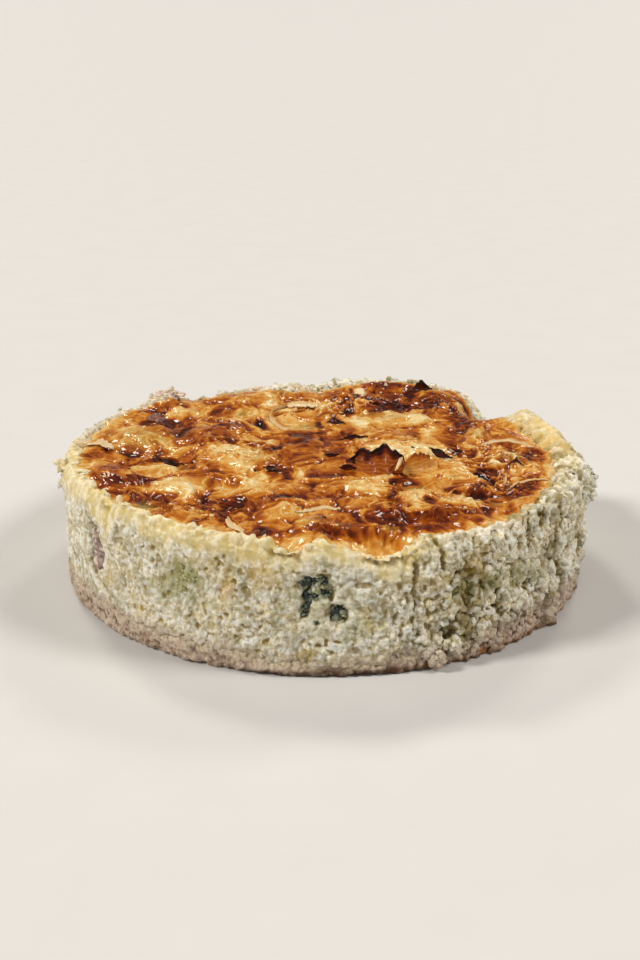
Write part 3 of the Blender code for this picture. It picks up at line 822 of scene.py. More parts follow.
drum = points_of(custard)
drum_azimuth = azimuth_of(drum)
drum_z = drum[:, 2] * custard_top(drum) / SKIN_LEVEL
drum_radius, drum_z = rounded_shoulder(radius_of(drum), drum_z, lip_height(drum_azimuth))
near_wall = smooth_step(drum_radius, WALL_RADIUS - 9.0 * MM, WALL_RADIUS - 0.6 * MM)
shaped = ring_place(drum_azimuth, drum_radius, drum_z)
tuck = 1.1 * MM * smooth_step(seam_height(drum_azimuth) - drum_z, -0.6 * MM, 2.0 * MM)
drum_radius = drum_radius + near_wall * (wall_offset(shaped) - tuck)
move_points(custard, ring_place(drum_azimuth, drum_radius, drum_z))
print("drum points:", len(drum))

# %% [markdown]
# Curds differ round the wall. They are larger and stand in upright columns on
# the right, and small and close on the left. Thousands of places are drawn at
# random, and each is kept by a chance that says how coarse the wall is there.

# %% Scatter the curds
CURDS = 21000

random = np.random.default_rng(2024)
curd_shape = lump_mesh("curd", 101)

azimuth = random.uniform(-180.0, 180.0, CURDS)
height = random.uniform(2.0, 31.0, CURDS) * MM
ring = ring_place(azimuth, WALL_RADIUS, height)
coarse = coarse_share(azimuth)
column = soft_noise(ring * [1.0, 1.0, 0.3], 3.4 * MM, 81)
beaded = within(azimuth, 192.0, 26.0, 8.0)
likely = 0.07 + 0.80 * coarse * smooth_step(column, -0.6, 0.2) + 0.5 * beaded
likely *= (1.0 - 0.95 * film_share(ring)) * (1.0 - 0.85 * groove_share(ring))
near_lip = smooth_step(lip_height(azimuth) - height, 4.5 * MM, 2.5 * MM)
likely *= 1.0 - 0.85 * near_lip * near(azimuth, *SHOULDER_PLACE)
keep = (height < lip_height(azimuth) - 1.0 * MM) & (height > seam_height(azimuth) - 1.0 * MM)
keep &= random.random(CURDS) < likely
keep &= (pocket_depth(ring) < 0.4 * MM) | (random.random(CURDS) < 0.24)
azimuth, height, coarse = azimuth[keep], height[keep], coarse[keep]
size = random.uniform(0.21, 0.37, len(azimuth)) + coarse * random.uniform(0.0, 0.24, len(azimuth)) ** 1.4
size = size * MM
sunk = size * (0.40 - 0.35 * coarse)
place = ring_place(azimuth, WALL_RADIUS, height)
reach = WALL_RADIUS + wall_offset(place) - sunk
reach -= 0.5 * SHOULDER * smooth_step(height, lip_height(azimuth) - SHOULDER, lip_height(azimuth))
place = ring_place(azimuth, reach, height)
sizes = size[:, None] * random.uniform(0.75, 1.35, (len(size), 3))
curds = scatter("curds", curd_shape, place, sizes, random.uniform(0.0, TAU, len(size)))
print("curds:", len(height))

# %% [markdown]
# The lip tore when the quiche left its ring. Small upright flakes stand along its
# inner edge where the wall is coarse, and on the left and in front torn bits of
# film lean over the skin, a few of them pulled up to peaks.

# %% Scatter the flakes and the torn film
FLAKES = 900
FLAPS = 220
FLAP_PEAKS = (-144.0, -142.5, -136.0, -117.5, -115.5, -104.0, -102.0, -100.5)

azimuth = random.uniform(-180.0, 180.0, FLAKES)
crumbly = 1.0 - 0.95 * near(azimuth, *SHOULDER_PLACE)
azimuth = azimuth[random.random(FLAKES) < 0.06 + coarse_share(azimuth) * crumbly]
edge = skin_edge(azimuth)
along = random.random(len(azimuth)) ** 1.6
reach = edge + 0.5 * MM + along * np.maximum(WALL_RADIUS - 1.0 * MM - edge, 0.2 * MM)
lip = ring_place(azimuth, reach, 0.0 * azimuth)
size = random.uniform(0.18, 0.42, len(azimuth)) * MM
lip[:, 2] = custard_top(lip) - 0.2 * size
sizes = np.column_stack([size * 0.7, size * 1.5, size * random.uniform(0.7, 1.9, len(size))])
flakes = scatter("lip_flakes", curd_shape, lip, sizes, np.radians(azimuth))

azimuth = np.concatenate([random.uniform(-176.0, -62.0, FLAPS), FLAP_PEAKS])
edge = skin_edge(azimuth)
lip = ring_place(azimuth, edge + random.uniform(-0.5, 0.9, len(azimuth)) * MM, 0.0 * azimuth)
large = random.uniform(0.5, 1.15, len(azimuth))
peaked = np.arange(len(azimuth)) >= FLAPS
lip[:, 2] = np.maximum(custard_top(lip), skin_height(lip[:, 0], lip[:, 1])) + 0.15 * large * MM
wide = large * np.where(peaked, 0.7, 1.2)
thick = large * random.uniform(0.5, 1.2, len(azimuth))
sizes = np.column_stack([wide, thick, np.where(peaked, 1.5, 0.36 * large)]) * MM
turns = np.radians(azimuth) + random.normal(0.0, 0.6, len(azimuth))
flaps = scatter("film_flaps", curd_shape, lip, sizes, turns)
print("flakes:", len(size), "bits of film:", len(azimuth))

# %% [markdown]
# A few clumps cling where the ring let go. Each is a cloud of lumps round its
# middle, so it ends ragged. The largest hang under the right-hand columns, one
# lies on the left rim, and a bristly one sticks out high on the right.

# %% Add the clumps and join the crumb
# azimuth, height, stand-out, half size in mm and half the number of lumps
CLUMPS = (
    (-9, 25.5, 0.9, 1.2, 22), (-13, 22.5, 1.0, 1.3, 26), (-17, 27.0, 0.4, 1.0, 14),
    (187, 27.0, 0.8, 1.7, 34), (191, 24.5, 0.4, 1.5, 24),
    (-63, 9.5, 0.8, 1.7, 34), (-60, 14.5, 0.7, 1.8, 36), (-64, 19.0, 0.4, 1.5, 24), (-65, 5.5, 1.2, 1.7, 34),
    (-68, 2.6, 1.5, 1.3, 22), (-58, 6.5, 0.7, 1.3, 20), (-47, 9.0, 0.4, 1.4, 20), (-36, 19.0, 0.5, 1.5, 20),
    (-30, 12.0, 0.5, 1.4, 20), (-50, 22.0, 0.5, 1.3, 18), (-76, 16.0, 0.3, 1.3, 16), (-55, 17.0, 0.3, 1.4, 16),
    (127, 29.8, -0.8, 1.2, 14), (133, 29.6, -1.0, 1.4, 18), (139, 29.2, -0.8, 1.2, 14),
    (60, 14.0, 0.4, 1.4, 16), (112, 10.0, 0.4, 1.5, 16), (150, 18.0, 0.3, 1.3, 16), (90, 20.0, 0.4, 1.5, 18),
)
BRISTLES = 130

places, sizes = [], []
for clump_azimuth, clump_height, stand, half, number in CLUMPS:
    reach = WALL_RADIUS + (stand - 0.6) * MM
    middle = ring_place(np.array([clump_azimuth]), reach, clump_height * MM)[0]
    for _ in range(2 * number):
        places.append(middle + random.normal(0.0, 0.50, 3) * half * MM)
        sizes.append(random.uniform(0.14, 0.34, 3) * half * MM)
azimuth = random.normal(-12.0, 3.2, BRISTLES)
reach = WALL_RADIUS + random.uniform(0.2, 2.7, BRISTLES) * MM
bristle_places = ring_place(azimuth, reach, random.normal(24.3, 2.0, BRISTLES) * MM)
turns = random.uniform(0.0, TAU, len(places))
clumps = scatter("clumps", curd_shape, np.array(places), np.array(sizes), turns)
bristle_sizes = random.uniform(0.20, 0.36, (BRISTLES, 3)) * MM * [2.6, 0.8, 1.1]
bristles = scatter("bristles", curd_shape, bristle_places, bristle_sizes, np.radians(azimuth))
join_into(custard, [curds, flakes, flaps, clumps, bristles])
print("lumps in clumps:", len(places))

# %% [markdown]
# One voxel remesh turns the drum and all the lumps on it into a single closed
# surface. It welds what touches, so the crumb gets true overhangs. Scraps that
# touch nothing are deleted.

# %% Weld the crumb into one surface
CRUMB_VOXEL = 0.34 * MM


def keep_main_body(piece):
    """Delete every scrap that doesn't hang together with the outermost point."""
    start = int(np.argmax(radius_of(points_of(piece)) - 4.0 * np.abs(points_of(piece)[:, 2] - 12.0 * MM)))
    activate(piece)
    bpy.ops.object.mode_set(mode="EDIT")
    bpy.ops.mesh.select_mode(type="VERT")
    bpy.ops.mesh.select_all(action="DESELECT")
    bpy.ops.object.mode_set(mode="OBJECT")
    piece.data.vertices[start].select = True
    bpy.ops.object.mode_set(mode="EDIT")
    bpy.ops.mesh.select_linked()
    bpy.ops.mesh.select_all(action="INVERT")
    bpy.ops.mesh.delete(type="VERT")
    bpy.ops.object.mode_set(mode="OBJECT")


run_modifier(custard, "REMESH", mode="VOXEL", voxel_size=CRUMB_VOXEL)
keep_main_body(custard)
print("welded crumb points:", len(custard.data.vertices))

# %% [markdown]
# Set custard is curd beside curd. The surface is divided into rounded grains of
# three sizes: each point belongs to its nearest seed, stands highest over it and
# sinks towards the border, where the creases gather the shade. Green and ochre
# stains show what lies just under the wall.

# %% Helpers for grains and stains
# size in mm, upward stretch, relief in mm where the wall is coarse and where it is close
GRAINS = ((3.2, 1.5, 0.46, 0.09), (1.5, 1.2, 0.30, 0.07), (0.85, 1.0, 0.24, 0.05))
# Stains in the wall where broccoli or yolk lies just under it:
# azimuth, height in mm, half width and half height in mm, strength
GREEN_STAINS = (
    (242, 19, 6.5, 5.5, 0.9), (237, 15, 4, 5, 0.5), (269, 17, 8, 8, 0.45), (297, 17, 4, 3, 0.5),
    (304, 18, 4, 3, 0.7), (312, 17, 4, 4, 0.7), (316, 15, 3, 3, 0.5), (276, 11, 4, 4, 0.5),
    (30, 16, 6, 4, 0.5), (95, 18, 7, 4, 0.6), (150, 14, 6, 5, 0.5), (190, 20, 4, 3, 0.3),
)
OCHRE_STAINS = (
    (251, 19, 1.6, 6, 0.8), (222, 14, 4, 3, 0.4), (258, 22, 5, 2.5, 0.6), (300, 22, 3, 4, 0.6),
    (290, 20, 5, 2, 0.5), (232, 9, 5, 3, 0.3), (320, 24, 5, 3, 0.4), (340, 15, 4, 6, 0.3),
    (60, 20, 6, 4, 0.5), (120, 12, 6, 4, 0.5), (170, 22, 6, 3, 0.4), (266, 5, 2.5, 1.6, 0.5),
    (246, 23, 4, 3, 0.5),
)


def nearest_seeds(points, seeds, wanted):
    """Number of the nearest seed and the distance to it, for the wanted points."""
    tree = kdtree.KDTree(len(seeds))
    for index, place in enumerate(seeds):
        tree.insert(place, index)
    tree.balance()
    number = np.zeros(len(points), dtype=int)
    distance = np.full(len(points), 1.0)
    for index in wanted:
        _, number[index], distance[index] = tree.find(points[index])
    return number, distance


def packed_grains(points, wanted, size, seed, stretch, area):
    """Rounded grains packed side by side: how far each point stands out, and its grain's number."""
    generator = np.random.default_rng(seed)
    bend = [soft_noise(points, 0.7 * size, seed + step) for step in (300, 310, 320)]
    squeezed = (points + 0.36 * size * np.column_stack(bend)) * [1.0, 1.0, 1.0 / stretch]
    count = int(1.3 * area / (size * size * stretch))
    seeds = squeezed[generator.choice(wanted, count, replace=False)]
    number, distance = nearest_seeds(squeezed, seeds, wanted)
    stand = np.clip(1.0 - (distance / (0.72 * size)) ** 2, -0.8, 1.0)
    stand += generator.uniform(-0.5, 0.5, count)[number]
    return stand, number


def stain_at(points, stains):
    """Strength of the stains at each point of the wall, with borders broken by noise."""
    azimuth = azimuth_of(points)
    shift = layers(points, (0.5, 2.2, 127), (0.35, 0.9, 129))
    total = np.zeros(len(points))
    for middle, height, half_width, half_height, strength in stains:
        along = np.radians(angle_between(azimuth, middle)) * WALL_RADIUS / MM / half_width
        up = (points[:, 2] / MM - height) / half_height
        total = np.maximum(total, strength * smooth_step(1.25 - np.hypot(along, up) - shift, 0.0, 0.9))
    return total


# %% [markdown]
# The lobe and the cream shoulder are smoothed first, since no curds show there.
# The relief of the three sizes of grain is then summed, strong where the wall is
# coarse and faint where it is close or under film.

# %% Raise the grains
crumb = points_of(custard)
smoothed = np.clip(lobe_share(crumb) + 0.9 * shoulder_share(crumb), 0.0, 1.0)
crumb += smoothed[:, None] * (smoothed_points(custard, 10) - crumb)
outward = normals_of(custard)
wanted = np.flatnonzero(radius_of(crumb) > WALL_RADIUS - 12.0 * MM)
wall_area = TAU * WALL_RADIUS * 42.0 * MM
azimuth = azimuth_of(crumb)
coarse = coarse_share(azimuth)
lobe = lobe_share(crumb)
film = np.maximum(film_share(crumb), 0.9 * lobe)
calm = smooth_step(soft_noise(crumb, 9.0 * MM, 115), -0.2, 0.5) * (1.0 - coarse)
calm = np.maximum(0.6 * calm, film)
relief = np.zeros(len(crumb))
for index, (grain, stretch, coarse_relief, close_relief) in enumerate(GRAINS):
    stand, number = packed_grains(crumb, wanted, grain * MM, 120 + index, stretch, wall_area)
    relief += stand * (coarse_relief * coarse + close_relief * (1.0 - coarse)) * (1.0 - 0.7 * calm)
    if index == 1:
        tint = np.random.default_rng(7).random(number.max() + 1)[number]
print("grains raised on", len(wanted), "points")

# %% [markdown]
# Small round holes, where bubbles set, are pressed into the wall, and cracks run
# between the curds: thin lines where a noise passes through zero. The film keeps
# soft pleats, and the lobe its own broad folds.

# %% Press in the holes and the cracks
HOLES = 900

random = np.random.default_rng(109)
hole_azimuth = random.uniform(-180.0, 180.0, HOLES)
hole_place = ring_place(hole_azimuth, WALL_RADIUS, random.uniform(3.0, 29.0, HOLES) * MM)
hole_place = ring_place(hole_azimuth, WALL_RADIUS + wall_offset(hole_place), hole_place[:, 2])
hole_size = random.uniform(0.22, 0.50, HOLES) ** 1.2 * 1.3 * MM
hole_size *= np.where(soft_noise(hole_place, 7.0 * MM, 107) > 0.0, 1.2, 0.7)
bent = crumb + 0.50 * MM * np.column_stack([soft_noise(crumb, 1.0 * MM, seed) for seed in (131, 133, 135)])
number, distance = nearest_seeds(bent, hole_place, wanted)
hole_reach = 1.3 * hole_size[number]
share = np.clip(distance / hole_reach, 0.0, 1.0)
hole = (1.0 - share * share) * (1.0 - 0.5 * coarse) * (1.0 - film)
cracks = ridge(soft_noise(bent * [1.0, 1.0, 0.7], 1.9 * MM, 141), 3.5)
fine_cracks = ridge(soft_noise(bent, 0.9 * MM, 143), 3.0)
rough = 0.30 * soft_noise(bent, 1.3 * MM, 145) + 0.20 * soft_noise(crumb, 0.65 * MM, 147)
pleats = np.abs(soft_noise(crumb * [1.0, 1.0, 0.12], 0.8 * MM, 149))
close = 1.0 - coarse
lower = 1.0 + 0.5 * coarse * smooth_step(crumb[:, 2], 15.0 * MM, 8.0 * MM)
relief *= lower
relief += lower * (1.0 - 0.5 * film) * ((0.4 + 1.0 * coarse) * rough - (0.34 - 0.24 * close) * cracks)
relief -= lower * (1.0 - 0.6 * film) * (0.22 - 0.12 * close) * fine_cracks
relief += film * (0.24 * soft_noise(crumb, 2.6 * MM, 159) - 0.05 * pleats)
relief += lobe * layers(crumb, (0.7, 2.9, 167), (0.2, 1.3, 169))
pits = smooth_step(soft_noise(crumb * [1.0, 1.0, 0.8], 1.9 * MM, 117), 0.40, 0.66)
open_crumb = smooth_step(soft_noise(crumb, 8.0 * MM, 119), -0.2, 0.5) * (0.35 + 0.65 * coarse)
relief -= 1.0 * hole * hole_size[number] / MM + 0.9 * pits * open_crumb * (1.0 - film)
print("holes:", HOLES, "relief in mm:", round(float(relief.min()), 2), "to", round(float(relief.max()), 2))

# %% [markdown]
# Along the skin the film tore into small teeth, which stand up and lean inwards.
# With them the crumb has its form. The values that the finish reads are stored:
# film, lobe, grooves, stains, the golden rim and the foot that meets the base.

# %% Tear the lip and store what the finish reads
ring = around(azimuth)
teeth = 1.5 * np.clip(soft_noise(ring, 0.055, 151) - 0.05, 0.0, 1.0)
teeth += 0.5 * np.clip(soft_noise(ring, 0.017, 153), 0.0, 1.0)
crest = radius_of(crumb) - skin_edge(azimuth) - 0.6 * MM
at_lip = smooth_step(crumb[:, 2] - lip_height(azimuth), -1.5 * MM, 0.0)
teeth *= np.exp(-(crest / (0.8 * MM)) ** 2) * at_lip
shaped = crumb + outward * (relief * MM)[:, None]
shaped[:, :2] *= 1.0 - (0.4 * film * teeth * MM / radius_of(crumb))[:, None]
shaped[:, 2] = np.maximum(shaped[:, 2] + teeth * MM * (0.3 + 0.7 * film), 0.15 * MM)
move_points(custard, shaped)

browned_back = within(azimuth, 118.0, 34.0, 16.0)
glow_reach = (1.5 + 3.5 * browned_back) * MM
rim_glow = np.exp(-(np.clip(crest, 0.0, 1.0) / glow_reach) ** 2)
rim_glow *= smooth_step(crumb[:, 2], 24.0 * MM, 27.0 * MM)
baked_rim = 0.75 + 0.35 * browned_back
baked_rim += 0.6 * soft_noise(crumb, 1.8 * MM, 165)
over_seam = (crumb[:, 2] - seam_height(azimuth)) / MM + 0.9 * soft_noise(crumb, 1.6 * MM, 155)
stored = {
    "tint": tint, "film": film, "lobe": lobe, "groove": groove_share(crumb),
    "foot": 1.0 - smooth_step(over_seam, -0.4, 3.0),
    "golden": np.clip(rim_glow * baked_rim, 0.0, 1.0),
    "pore": np.maximum(hole * (distance < hole_reach), 0.8 * pits * open_crumb),
    "green": stain_at(crumb, GREEN_STAINS), "ochre": stain_at(crumb, OCHRE_STAINS),
}
for name, values in stored.items():
    store(custard, name, values)
# The depths of the hollows and creases drive the painted shade and painted highlights of the crumb's finish
store_hollows(custard, 30, 0.45 * MM)
store_hollows(custard, 4, 0.09 * MM, "crevice")
print("values stored for the crumb:", len(stored) + 2)

# %% [markdown]
# The fine crumb is only needed where it shows. The faces under the skin and
# inside the foot are deleted, the open edges are pulled in, and plain faces
# close the solid. One mesh stays under 200,000 triangles, so a Boolean
# with a box cuts the wall into four closed quarters that meet face to face.

# %% Close and quarter the wall
QUARTERS = {"custard_front": 245.0, "custard_right": 335.0, "custard_back": 65.0, "custard_left": 155.0}


def hollow_out(piece, inner_radius, top_limit, bottom_limit, cap_heights):
    """Take away the fine faces that nothing shows and close the solid with plain ones inside."""
    activate(piece)
    centres = np.empty(len(piece.data.polygons) * 3)
    piece.data.polygons.foreach_get("center", centres)
    centres = centres.reshape(-1, 3)
    inside = radius_of(centres) < inner_radius
    hidden = inside & ((centres[:, 2] > top_limit) | (centres[:, 2] < bottom_limit))
    bpy.ops.object.mode_set(mode="EDIT")
    bpy.ops.mesh.select_mode(type="FACE")
    bpy.ops.mesh.select_all(action="DESELECT")
    bpy.ops.object.mode_set(mode="OBJECT")
    piece.data.polygons.foreach_set("select", hidden)
    bpy.ops.object.mode_set(mode="EDIT")
    bpy.ops.mesh.delete(type="FACE")
    select_open_edges(piece)
    before = len(points_of(piece))
    bpy.ops.mesh.extrude_edges_move(TRANSFORM_OT_translate={"value": (0.0, 0.0, 0.0)})
    bpy.ops.object.mode_set(mode="OBJECT")
    points = points_of(piece)
    middle = 0.5 * (top_limit + bottom_limit)
    points[before:, 2] = np.where(points[before:, 2] > middle, cap_heights[1], cap_heights[0])
    points[before:, :2] *= 0.98
    move_points(piece, points)
    bpy.ops.object.mode_set(mode="EDIT")
    bpy.ops.mesh.select_all(action="SELECT")
    bpy.ops.mesh.fill_holes(sides=0)
    bpy.ops.object.mode_set(mode="OBJECT")
    run_modifier(piece, "TRIANGULATE")


def quarter(piece, name, azimuth):
    """The part of a piece within 45 degrees of the azimuth, closed where it was cut."""
    copy = piece.copy()
    copy.data = piece.data.copy()
    copy.name = name
    bpy.context.scene.collection.objects.link(copy)
    deselect_all()
    bpy.ops.mesh.primitive_cube_add(size=0.2, location=(0.1, 0.1, 0.0))
    cutter = added("cutter")
    cutter.rotation_euler.z = math.radians(azimuth - 45.0)
    run_modifier(copy, "BOOLEAN", operation="INTERSECT", object=cutter, solver="MANIFOLD")
    bpy.data.objects.remove(cutter)
    activate(copy)
    bpy.ops.object.shade_smooth_by_angle(angle=math.radians(80.0))
    print(name, "faces:", len(copy.data.polygons))
    return copy


hollow_out(custard, WALL_RADIUS - 13.0 * MM, SKIN_LEVEL - 8.0 * MM, 6.0 * MM, (4.8 * MM, 15.0 * MM))
walls = [quarter(custard, name, turn) for name, turn in QUARTERS.items()]
bpy.data.objects.remove(custard)

# %% [markdown]
# The base is pressed, pale and pinkish at the side, and toasted to grit at its
# lower edge. It is made as the custard was, from a low drum with fine grit, and
# flattened underneath where it stands.

# %% Model the base
GRIT = 4200
GRIT_EDGE = 1.8 * MM
BASE_TOP = 9.5 * MM
BASE_VOXEL = 0.38 * MM
BASE_GRAINS = ((1.5, 1.0, 0.17), (0.8, 1.0, 0.20))


def base_offset(points):
    azimuth = azimuth_of(points)
    lumps = layers(points, (0.35, 4.0, 121), (0.2, 1.8, 123))
    tucked = 0.9 * smooth_step(points[:, 2], 1.4 * MM, 0.0)
    covered = 1.3 * smooth_step(points[:, 2] - seam_height(azimuth), -1.6 * MM, 1.2 * MM)
    return (lumps - tucked - covered - 0.35) * MM


deselect_all()
bpy.ops.mesh.primitive_cylinder_add(vertices=256, radius=BASE_RADIUS, depth=BASE_TOP,
                                    location=(0.0, 0.0, 0.5 * BASE_TOP))
base = added("pastry")
run_modifier(base, "REMESH", mode="VOXEL", voxel_size=DRUM_VOXEL)
pressed = points_of(base)
side = smooth_step(radius_of(pressed), 0.85 * BASE_RADIUS, 0.97 * BASE_RADIUS)
reach = radius_of(pressed) + side * base_offset(pressed)
move_points(base, ring_place(azimuth_of(pressed), reach, pressed[:, 2]))

random = np.random.default_rng(77)
azimuth = random.uniform(-180.0, 180.0, GRIT)
height = random.uniform(0.0, 8.0, GRIT) * MM
keep = (height < GRIT_EDGE) | ((random.random(GRIT) < 0.5) & (height < seam_height(azimuth)))
azimuth, height = azimuth[keep], height[keep]
size = np.where(height < GRIT_EDGE, 0.42, 0.32) * random.uniform(0.6, 1.3, len(height)) * MM
place = ring_place(azimuth, BASE_RADIUS, height)
reach = BASE_RADIUS + base_offset(place) - 0.3 * size
place = ring_place(azimuth, reach, np.maximum(height, size))
sizes = size[:, None] * random.uniform(0.8, 1.3, (len(size), 3))
grit = scatter("grit", curd_shape, place, sizes, random.uniform(0.0, TAU, len(size)))
join_into(base, [grit])
run_modifier(base, "REMESH", mode="VOXEL", voxel_size=BASE_VOXEL)
keep_main_body(base)
print("base points:", len(base.data.vertices))

# %% [markdown]
# The side of the base gets fine packed grains, as the crumb did, stronger towards
# the right. Its finish reads where the paste is creamy, gritty and toasted.

# %% Shape and store the grit of the base
pressed = points_of(base)
outward = normals_of(base)
azimuth = azimuth_of(pressed)
at_side = radius_of(pressed) > BASE_RADIUS - 3.0 * MM
shown = np.flatnonzero(at_side & (pressed[:, 2] < BASE_TOP - 0.2 * MM))
side_area = TAU * BASE_RADIUS * BASE_TOP
relief = np.zeros(len(pressed))
gritty = within(azimuth, -30.0, 50.0, 30.0)
for index, (grain, stretch, amount) in enumerate(BASE_GRAINS):
    stand, number = packed_grains(pressed, shown, grain * MM, 140 + index, stretch, side_area)
    relief[shown] += amount * stand[shown] * (0.6 + 0.7 * gritty[shown])
pressed += outward * (relief * MM)[:, None]
pressed[:, 2] = np.maximum(pressed[:, 2], 0.0)
move_points(base, pressed)
azimuth = azimuth_of(pressed)
under_seam = (seam_height(azimuth) - pressed[:, 2]) / MM + 0.9 * soft_noise(pressed, 1.6 * MM, 155)
toasted = smooth_step(angle_between(azimuth, -150.0), 28.0, 60.0)
edge_height = (2.0 + 1.0 * soft_noise(around(azimuth), 0.06, 157)) * MM
low_down = 1.0 - smooth_step(pressed[:, 2], 0.5 * edge_height, 1.3 * edge_height)
store(base, "tint", np.random.default_rng(8).random(number.max() + 1)[number])
store(base, "grit", gritty)
store(base, "creamy", 1.0 - smooth_step(under_seam, 0.0, 2.4))
store(base, "toast", (0.15 + 0.85 * toasted) * low_down)
# Hollow and crease depths drive painted shade and painted highlights in the base's finish
store_hollows(base, 16, 0.3 * MM)
store_hollows(base, 4, 0.09 * MM, "crevice")
hollow_out(base, WALL_RADIUS - 6.0 * MM, 6.0 * MM, 0.5 * MM, (0.0, 6.0 * MM))
activate(base)
bpy.ops.object.shade_smooth()
print("base faces:", len(base.data.polygons))

# %% [markdown]
# A floret of broccoli is a dome of tight buds. A few rounded knobs are set in
# the recess of the wall, and small beads cover the side that shows. Each bead
# stores its own shade, so no two buds look the same; about two in five get a
# lighter shade, which is painted light, and the knobs that show between the beads
# are dark, partly their own colour and partly painted shade, most of all on the
# front floret.

# %% Model the broccoli
BUD = 0.42 * MM
BUDS_PER_AREA = 2.6
SUNK_IN_WALL = 0.35 * MM
# How pale the buds are at least, node by node; the groups are those of the pockets
PALENESS = {"broccoli_front": 0.06, "broccoli_left": 0.96, "broccoli_right": 0.50, "broccoli_scrap": 0.62}


def rough_lump(name, middle, axes, halves, relief, grain, seed, detail=5):
    deselect_all()
    bpy.ops.mesh.primitive_ico_sphere_add(subdivisions=detail, radius=1.0)
    piece = added(name)
    unit = points_of(piece)
    unit *= 1.0 + relief * soft_noise(unit, grain, seed)[:, None]
    placed = sum(unit[:, [index]] * halves[index] * axes[index] for index in range(3))
    move_points(piece, placed + middle)
    return piece


def floret(node, seed):
    """Knobs in the pockets of one node, covered with buds, as one piece."""
    middle, outward, sideways, half_side, half_up = node_frame(node)
    generator = np.random.default_rng(seed)
    groups = [spec for spec in POCKETS if spec[0] == node]
    pieces, places, sizes, shades = [], [], [], []
    for index, (_, across, up, wide, tall, recess) in enumerate(groups):
        place = middle + sideways * across * half_side + UP * up * half_up
        wall = WALL_RADIUS + wall_offset(place[None])[0]
        place[:2] = outward[:2] * (wall - SUNK_IN_WALL) + (sideways * across * half_side)[:2]
        halves = (0.75 * MM, 0.80 * wide * half_side, 0.80 * tall * half_up)
        knob = rough_lump(node + "_knob", place, (outward, sideways, UP), halves, 0.25, 0.5, seed + index, 3)
        # The knobs show between the beads: near black on the front floret, partly dark green and partly
        # painted shade
        store(knob, "shade", np.full(len(knob.data.vertices), PALENESS[node] ** 1.5))
        pieces.append(knob)
        count = int(BUDS_PER_AREA * math.pi * halves[1] * halves[2] / MM ** 2) + 6
        direction = generator.normal(size=(count, 3))
        direction /= np.linalg.norm(direction, axis=1)[:, None]
        direction[:, 0] = np.abs(direction[:, 0])
        spread = direction * halves * [1.1, 1.25, 1.25] * generator.uniform(0.85, 1.1, (count, 1))
        spot = place + spread[:, [0]] * outward + spread[:, [1]] * sideways + spread[:, [2]] * UP
        places.append(spot)
        bud_size = BUD * generator.uniform(0.45, 1.25, (count, 1))
        sizes.append(bud_size * generator.uniform(0.7, 1.2, (count, 3)))
        pale = PALENESS[node] + (0.5 if recess < 1.0 and node == "broccoli_front" else 0.0)
        # Painted light: about two beads in five get a lighter shade, the rest stay dark
        painted_light = np.where(generator.random(count) < 0.42, generator.uniform(0.35, 0.72, count),
                       generator.uniform(0.0, 0.22, count))
        shades.append(np.clip(pale + painted_light, 0.0, 1.0))
    turns = generator.uniform(0.0, TAU, sum(len(spot) for spot in places))
    cluster = scatter(node + "_buds", curd_shape, np.concatenate(places), np.concatenate(sizes), turns)
    store(cluster, "shade", np.repeat(np.concatenate(shades), len(curd_shape.data.vertices)))
    join_into(cluster, pieces)
    bpy.ops.object.shade_smooth()
    return cluster


florets = [floret(node, 201 + 10 * index) for index, node in enumerate(PALENESS)]
print("faces of the florets:", [len(piece.data.polygons) for piece in florets])

# %% [markdown]
# Baked salmon is pale, greyed pink and falls apart in thin flakes. Each chunk
# is a lump whose points are moved out and in by a sine over slanted layers, so
# that the edges of the flakes show as fine steps.

# %% Model the salmon
def salmon_chunk(node, seed):
    low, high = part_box(node)
    middle = np.array((low + high) / 2)
    half = np.array(high - low) / 2
    if high.z < SKIN_LEVEL:
        _, outward, sideways, _, _ = node_frame(node)
        axes, halves = (outward, sideways, UP), (1.5 * MM, 2.5 * MM, 0.95 * half[2])
        wall = WALL_RADIUS + wall_offset(middle[None])[0]
        middle[:2] = outward[:2] * (wall - SUNK_IN_WALL)
    else:
        wide = 1.15 if node == "salmon_rim" else 0.85
        axes, halves = np.eye(3), half * [wide, wide, 0.7]
        ground = height_at(middle[0] / MM, middle[1] / MM)
        rim = lip_height(azimuth_of(middle[None]))[0] if node == "salmon_rim" else 0.0
        middle[2] = max(ground - 0.2 * MM, rim + 0.2 * MM)
    piece = rough_lump(node + "_flakes", middle, axes, halves, 0.42, 0.55, seed)
    points = points_of(piece)
    slant = points[:, 2] + 0.5 * points[:, 0]
    flakes_at = np.sin(slant / (0.32 * MM) + 2.5 * soft_noise(points, 2.4 * MM, seed))
    step = 0.15 * flakes_at + layers(points, (0.35, 1.1, seed + 1)) + layers(points, (0.5, 2.2, seed + 2))
    move_points(piece, points + normals_of(piece) * (step * MM)[:, None])
    store_hollows(piece, 10, 0.2 * MM)
    activate(piece)
    bpy.ops.object.shade_smooth()
    return piece


SALMON_NODES = ("salmon_left", "salmon_rim", "salmon_top")
salmon = [salmon_chunk(node, 211 + 7 * index) for index, node in enumerate(SALMON_NODES)]
print("salmon chunks:", len(salmon))

# %% [markdown]
# Leek and onion went into the skin as thin wet leaves. Where they stuck out
# they curled and charred. Each is a fine grid bent along a path, with a torn
# edge, and thickened. Two values go with it: how burnt a point is and how far
# across the leaf it lies.

